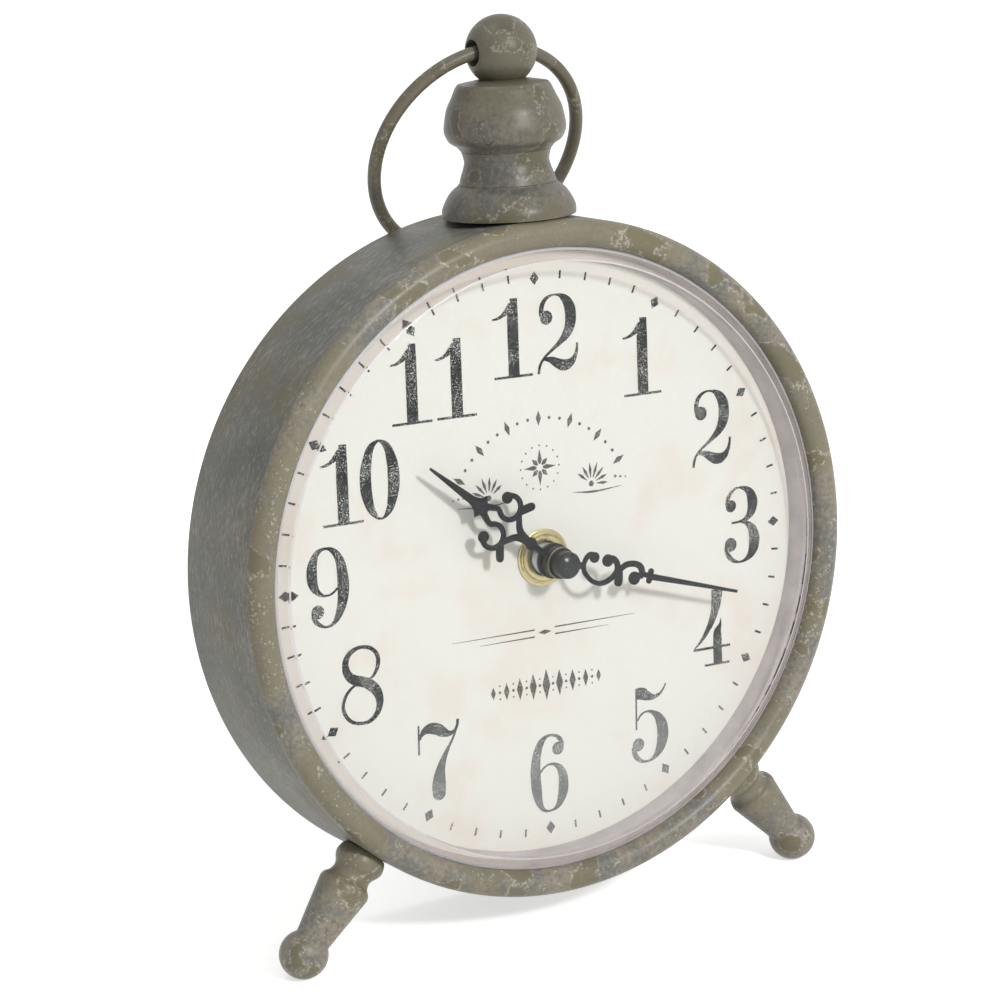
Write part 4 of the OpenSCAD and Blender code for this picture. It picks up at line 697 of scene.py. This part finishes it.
# The two feet are turned from steel in one piece, with a bead, a swollen shank and a ball end. A
# threaded stud goes through the drum's wall, to a nut inside, and they wear the drum's lacquer.
shank_r, foot_len, foot_ball, stud_r, foot_y, splay = 6.75, 29.4, 6.17, 2, 7.2015, 39.7
foot_start, stud_start = case_r + seat_gap, 81.44
foot_line = [(shank_r * r, foot_start + foot_len * h) for r, h in
             ((0.81, 0), (0.9, 0.035), (0.955, 0.095), (0.89, 0.145), (0.78, 0.185),
              (0.74, 0.225), (0.8, 0.272), (0.94, 0.31), (1, 0.35))]
foot_tip = (0, case_r + foot_len)
taper = math.degrees(math.acos(0.67 * shank_r / foot_ball))
for name, side in (("left", -1), ("right", 1)):
    foot = turned([(0, stud_start), (stud_r, stud_start), (stud_r, foot_start)]
                  + flowing(foot_line, 6) + arc(foot_tip, foot_ball, -taper, 90, 20), 96, 0.1)
    place = (case_axes @ Matrix.Translation((0, foot_y, 0))
             @ Matrix.Rotation(math.radians(180 - side * splay), 4, "Y"))
    settle(foot, name + "_turned_foot", place, lacquer, "case", "turned_steel", name + "_foot")

# The back: a pressed steel cover on three brackets, its screws, and the folding strut on its riveted
# bracket. Cover, bracket and strut are painted dark grey with a fine grain, the rest is zinc-plated.
back_paint, spot = new_finish("dark_grey_back_paint")
cloud = add(back_paint, "TexNoise", {"Vector": spot, "Scale": 0.06, "Detail": 5, "Roughness": 0.6})
grit = add(back_paint, "TexNoise", {"Vector": spot, "Scale": 1.6, "Detail": 3})
wear = add(back_paint, "MapRange", {"Value": grit, "From Min": 0.7, "From Max": 0.76})
tone = add(back_paint, "Mix", {"Factor": cloud, "A": "#55544e", "B": "#73716a"}, data_type="RGBA")
add(back_paint, "OutputMaterial", {"Surface": add(back_paint, "BsdfPrincipled", {
    "Base Color": add(back_paint, "Mix", {"Factor": wear, "A": tone, "B": "#a09c92"}, data_type="RGBA"),
    "Metallic": 0.2,
    "Roughness": add(back_paint, "MapRange", {
        "Value": cloud, "From Min": 0.3, "From Max": 0.7, "To Min": 0.42, "To Max": 0.6}),
    "Normal": add(back_paint, "Bump", {"Height": grit, "Strength": 0.25, "Distance": 0.00006})})})
for node, finish, body, slot, edge in (
        ("back_cover", back_paint, "case", "cover_steel", 0.15),
        ("cover_brackets", zinc, "case", "bright_steel", 0.12),
        ("strut_bracket", back_paint, "case", "strut_steel", 0.15),
        ("strut", back_paint, "rear_strut", "strut_steel", 0.2),
        ("strut_pin", zinc, "case", "bright_steel", 0.12),
        ("strut_rivets", zinc, "case", "bright_steel", 0.12),
        ("cover_screws", zinc, "case", "bright_steel", 0.3)):
    settle(eased_copy(node, edge), node + "_finished", as_packed, finish, body, slot, node,
           crease=20)

# The movement's housing is moulded from black ABS in two halves that snap together. The tool was
# spark-eroded, which leaves a fine matt texture.
abs_black, spot = new_finish("moulded_black_abs")
spark = add(abs_black, "TexNoise", {"Vector": spot, "Scale": 2.2, "Detail": 3})
cloud = add(abs_black, "TexNoise", {"Vector": spot, "Scale": 0.08, "Detail": 3})
add(abs_black, "OutputMaterial", {"Surface": add(abs_black, "BsdfPrincipled", {
    "Base Color": add(abs_black, "Mix", {"Factor": cloud, "A": "#202022", "B": "#2e2e30"},
                      data_type="RGBA"),
    "Roughness": 0.48,
    "Normal": add(abs_black, "Bump", {"Height": spark, "Strength": 0.4, "Distance": 0.00006})})})
for node in ("movement_front", "movement_back"):
    settle(eased_copy(node, 0.2), node + "_moulded", as_packed, abs_black, "case",
           "housing_black", node, crease=20)

# The gears and the setting knob are moulded from white acetal, slightly translucent and waxy. The
# knob sits on the end of its shaft, in the opening of the cover.
acetal, spot = new_finish("moulded_acetal")
cloud = add(acetal, "TexNoise", {"Vector": spot, "Scale": 0.3, "Detail": 3})
add(acetal, "OutputMaterial", {"Surface": add(acetal, "BsdfPrincipled", {
    "Base Color": add(acetal, "Mix", {"Factor": cloud, "A": "#dcd8cc", "B": "#ebe8df"}, data_type="RGBA"),
    "Roughness": 0.38, "Subsurface Weight": 0.15, "Subsurface Scale": 0.001})})
settle(eased_copy("setting_knob", 0.1), "setting_knob_moulded", as_packed, acetal,
       "setting_shaft", "knob_plastic", "setting_knob")

# The gasket is punched from black rubber sheet and pressed between plate and movement. It is matt,
# with talc in its pores.
rubber, spot = new_finish("black_gasket_rubber")
talc = add(rubber, "TexNoise", {"Vector": spot, "Scale": 1.5, "Detail": 4})
add(rubber, "OutputMaterial", {"Surface": add(rubber, "BsdfPrincipled", {
    "Base Color": add(rubber, "Mix", {"Factor": talc, "A": "#1a1a1a", "B": "#2f2e2c"}, data_type="RGBA"),
    "Roughness": 0.85})})

# The circuit board is glass cloth in epoxy under a green solder mask, with the weave just showing.
# It lies over the coil, inside the housing.
mask_green, spot = new_finish("green_solder_mask")
weave = add(mask_green, "TexWave", {"Vector": spot, "Scale": 0.8, "Distortion": 1.0})
add(mask_green, "OutputMaterial", {"Surface": add(mask_green, "BsdfPrincipled", {
    "Base Color": add(mask_green, "Mix", {"Factor": weave, "A": "#24503a", "B": "#316349"},
                      data_type="RGBA"),
    "Roughness": 0.3})})

# The coil is wound from enamelled copper wire in even turns, which give it fine bright lines. They
# are drawn 0.4 mm apart, coarser than the real 0.05 mm.
copper, spot = new_finish("enamelled_copper_wire")
turns = add(copper, "TexWave", {"Vector": spot, "Scale": 0.8, "Distortion": 0.1})
add(copper, "OutputMaterial", {"Surface": add(copper, "BsdfPrincipled", {
    "Base Color": add(copper, "Mix", {"Factor": turns, "A": "#7c4420", "B": "#c07a44"}, data_type="RGBA"),
    "Metallic": 0.8, "Roughness": 0.3,
    "Normal": add(copper, "Bump", {"Height": turns, "Strength": 0.5, "Distance": 0.0002})})})

# The rotor's magnet is sintered ferrite, pressed on a small pinion. It is dark, matt and slightly
# grainy.
ferrite, spot = new_finish("sintered_ferrite")
grain = add(ferrite, "TexNoise", {"Vector": spot, "Scale": 3.0, "Detail": 3})
add(ferrite, "OutputMaterial", {"Surface": add(ferrite, "BsdfPrincipled", {
    "Base Color": add(ferrite, "Mix", {"Factor": grain, "A": "#37383c", "B": "#56585e"}, data_type="RGBA"),
    "Metallic": 0.4, "Roughness": 0.55})})

# The AA cell lies in its bay behind the cover's opening. Its sleeve is plain film, blue-grey with a
# copper-coloured end, shrunk tight, with soft wrinkles.
sleeve, spot = new_finish("shrunk_cell_sleeve")
wrinkle = add(sleeve, "TexNoise", {"Vector": spot, "Scale": 0.25, "Detail": 3})
end_of_cell = add(sleeve, "SeparateXYZ", {"Vector": spot}).outputs["X"]
band = add(sleeve, "MapRange", {"Value": end_of_cell, "From Min": 13.9, "From Max": 14.1})
add(sleeve, "OutputMaterial", {"Surface": add(sleeve, "BsdfPrincipled", {
    "Base Color": add(sleeve, "Mix", {"Factor": band, "A": "#39424a", "B": "#b08a4c"}, data_type="RGBA"),
    "Roughness": 0.25,
    "Normal": add(sleeve, "Bump", {"Height": wrinkle, "Strength": 0.2, "Distance": 0.0002})})})
settle(eased_copy("battery", 0.5), "sleeved_battery", as_packed, sleeve, "battery_cell",
       "battery_sleeve", "battery")

# The pieces inside keep their CAD shape, and each gets the finish of what it is made of: zinc plate
# on steel, brass, acetal, or a finish that was made above for it alone.
inside_finish = {
    "dial_plate": zinc, "dial_screws": zinc, "gasket": rubber, "finial_rod": zinc,
    "finial_washer": zinc, "finial_nut": zinc, "foot_nuts": zinc, "train_plate": brass,
    "circuit_board": mask_green, "coil": copper, "stator": zinc, "rotor": ferrite,
    "intermediate_wheel": acetal, "seconds_wheel": acetal, "third_wheel": acetal,
    "centre_wheel": acetal, "cannon_pinion": zinc, "minute_wheel": acetal, "hour_wheel": acetal,
    "positive_contact": zinc, "negative_contact": zinc}
for node, finish in inside_finish.items():
    frame["nodes"][node].data.materials.clear()
    frame["nodes"][node].data.materials.append(finish)

# The floor is pale and plain. To the camera, and in gloss and glass, it shows nearly white, and it
# keeps the clock's shadow.
floor_glow, floor_half = 0.6, 6.0
floor_finish, spot = new_finish("pale_floor")


def seen_straight(finish):
    """One where the camera looks straight, by gloss or through glass, and nought past a matt bounce."""
    rays = add(finish, "LightPath", {}).outputs
    seen = add(finish, "Math", {0: rays["Is Camera Ray"], 1: rays["Is Glossy Ray"]},
               operation="MAXIMUM")
    seen = add(finish, "Math", {0: seen, 1: rays["Is Transmission Ray"]}, operation="MAXIMUM")
    return add(finish, "Math", {0: seen, 1: rays["Diffuse Depth"]}, operation="SUBTRACT",
               use_clamp=True)


grain = add(floor_finish, "TexNoise", {"Vector": spot, "Scale": 0.02, "Detail": 2})
matt = add(floor_finish, "BsdfDiffuse", {"Color": add(floor_finish, "Mix", {
    "Factor": grain, "A": "#eeeeec", "B": "#f2f2f0"}, data_type="RGBA")})
glow = add(floor_finish, "Emission", {
    "Color": "#ffffff",
    "Strength": add(floor_finish, "Math", {0: seen_straight(floor_finish), 1: floor_glow},
                    operation="MULTIPLY")})
add(floor_finish, "OutputMaterial", {
    "Surface": add(floor_finish, "AddShader", {0: matt, 1: glow})})
work = bmesh.new()
bmesh.ops.create_grid(work, x_segments=1, y_segments=1, size=floor_half)
floor_mesh = bpy.data.meshes.new("floor")
work.to_mesh(floor_mesh)
work.free()
floor_mesh.materials.append(floor_finish)
floor = bpy.data.objects.new("floor", floor_mesh)
bpy.context.scene.collection.objects.link(floor)

# Light: a pale room, brighter to the right and above, a soft lamp in front, above and a little to
# the right, and a weak one overhead. To the camera, in gloss and in glass, the room is plain white.
world = bpy.data.worlds.new("pale_room")
bpy.context.scene.world = world
world.use_nodes = True
world.node_tree.nodes.clear()
bright_side = Vector((0.55, -0.5, 0.75)).normalized()
room = add(world, "VectorMath", {
    0: add(world, "TexCoord", {}).outputs["Generated"], 1: tuple(bright_side)},
    operation="DOT_PRODUCT")
room = add(world, "MapRange", {
    "Value": room, "From Min": -1.0, "From Max": 1.0, "To Min": 0.0, "To Max": 0.74})
add(world, "OutputWorld", {"Surface": add(world, "Background", {
    "Color": "#ffffff",
    "Strength": add(world, "Math", {0: room, 1: seen_straight(world)}, operation="MAXIMUM")})})
middle = Vector((0, 0, 0.11))


def lamp(name, toward, distance, size, power):
    """A round soft lamp that shines on the clock from this direction, in metres and watts."""
    light = bpy.data.lights.new(name, "AREA")
    light.shape = "DISK"
    light.size = size
    light.energy = power
    stand = bpy.data.objects.new(name, light)
    bpy.context.scene.collection.objects.link(stand)
    stand.location = middle + Vector(toward).normalized() * distance
    stand.rotation_mode = "QUATERNION"
    stand.rotation_quaternion = (middle - stand.location).to_track_quat("-Z", "Y")


lamp("front_lamp", (0.1, -0.845, 0.53), 1.3, 0.17, 9.6)
lamp("top_lamp", (-0.25, 0.2, 1.0), 1.5, 0.5, 3.0)

# The camera stands 0.85 m from the clock, to its left and above it, where the photograph was taken.
# The view transform is plain, so that a colour comes out as it is written.
lens = bpy.data.cameras.new("camera")
lens.lens = 119.25
lens.sensor_width = 36.0
camera = bpy.data.objects.new("camera", lens)
bpy.context.scene.collection.objects.link(camera)
camera.location = (-0.41501, -0.69052, 0.35071)
looks_along = Vector((0.48905, 0.82244, -0.29055))
camera.rotation_mode = "QUATERNION"
camera.rotation_quaternion = looks_along.to_track_quat("-Z", "Y")
bpy.context.scene.camera = camera
bpy.context.scene.view_settings.view_transform = "Standard"
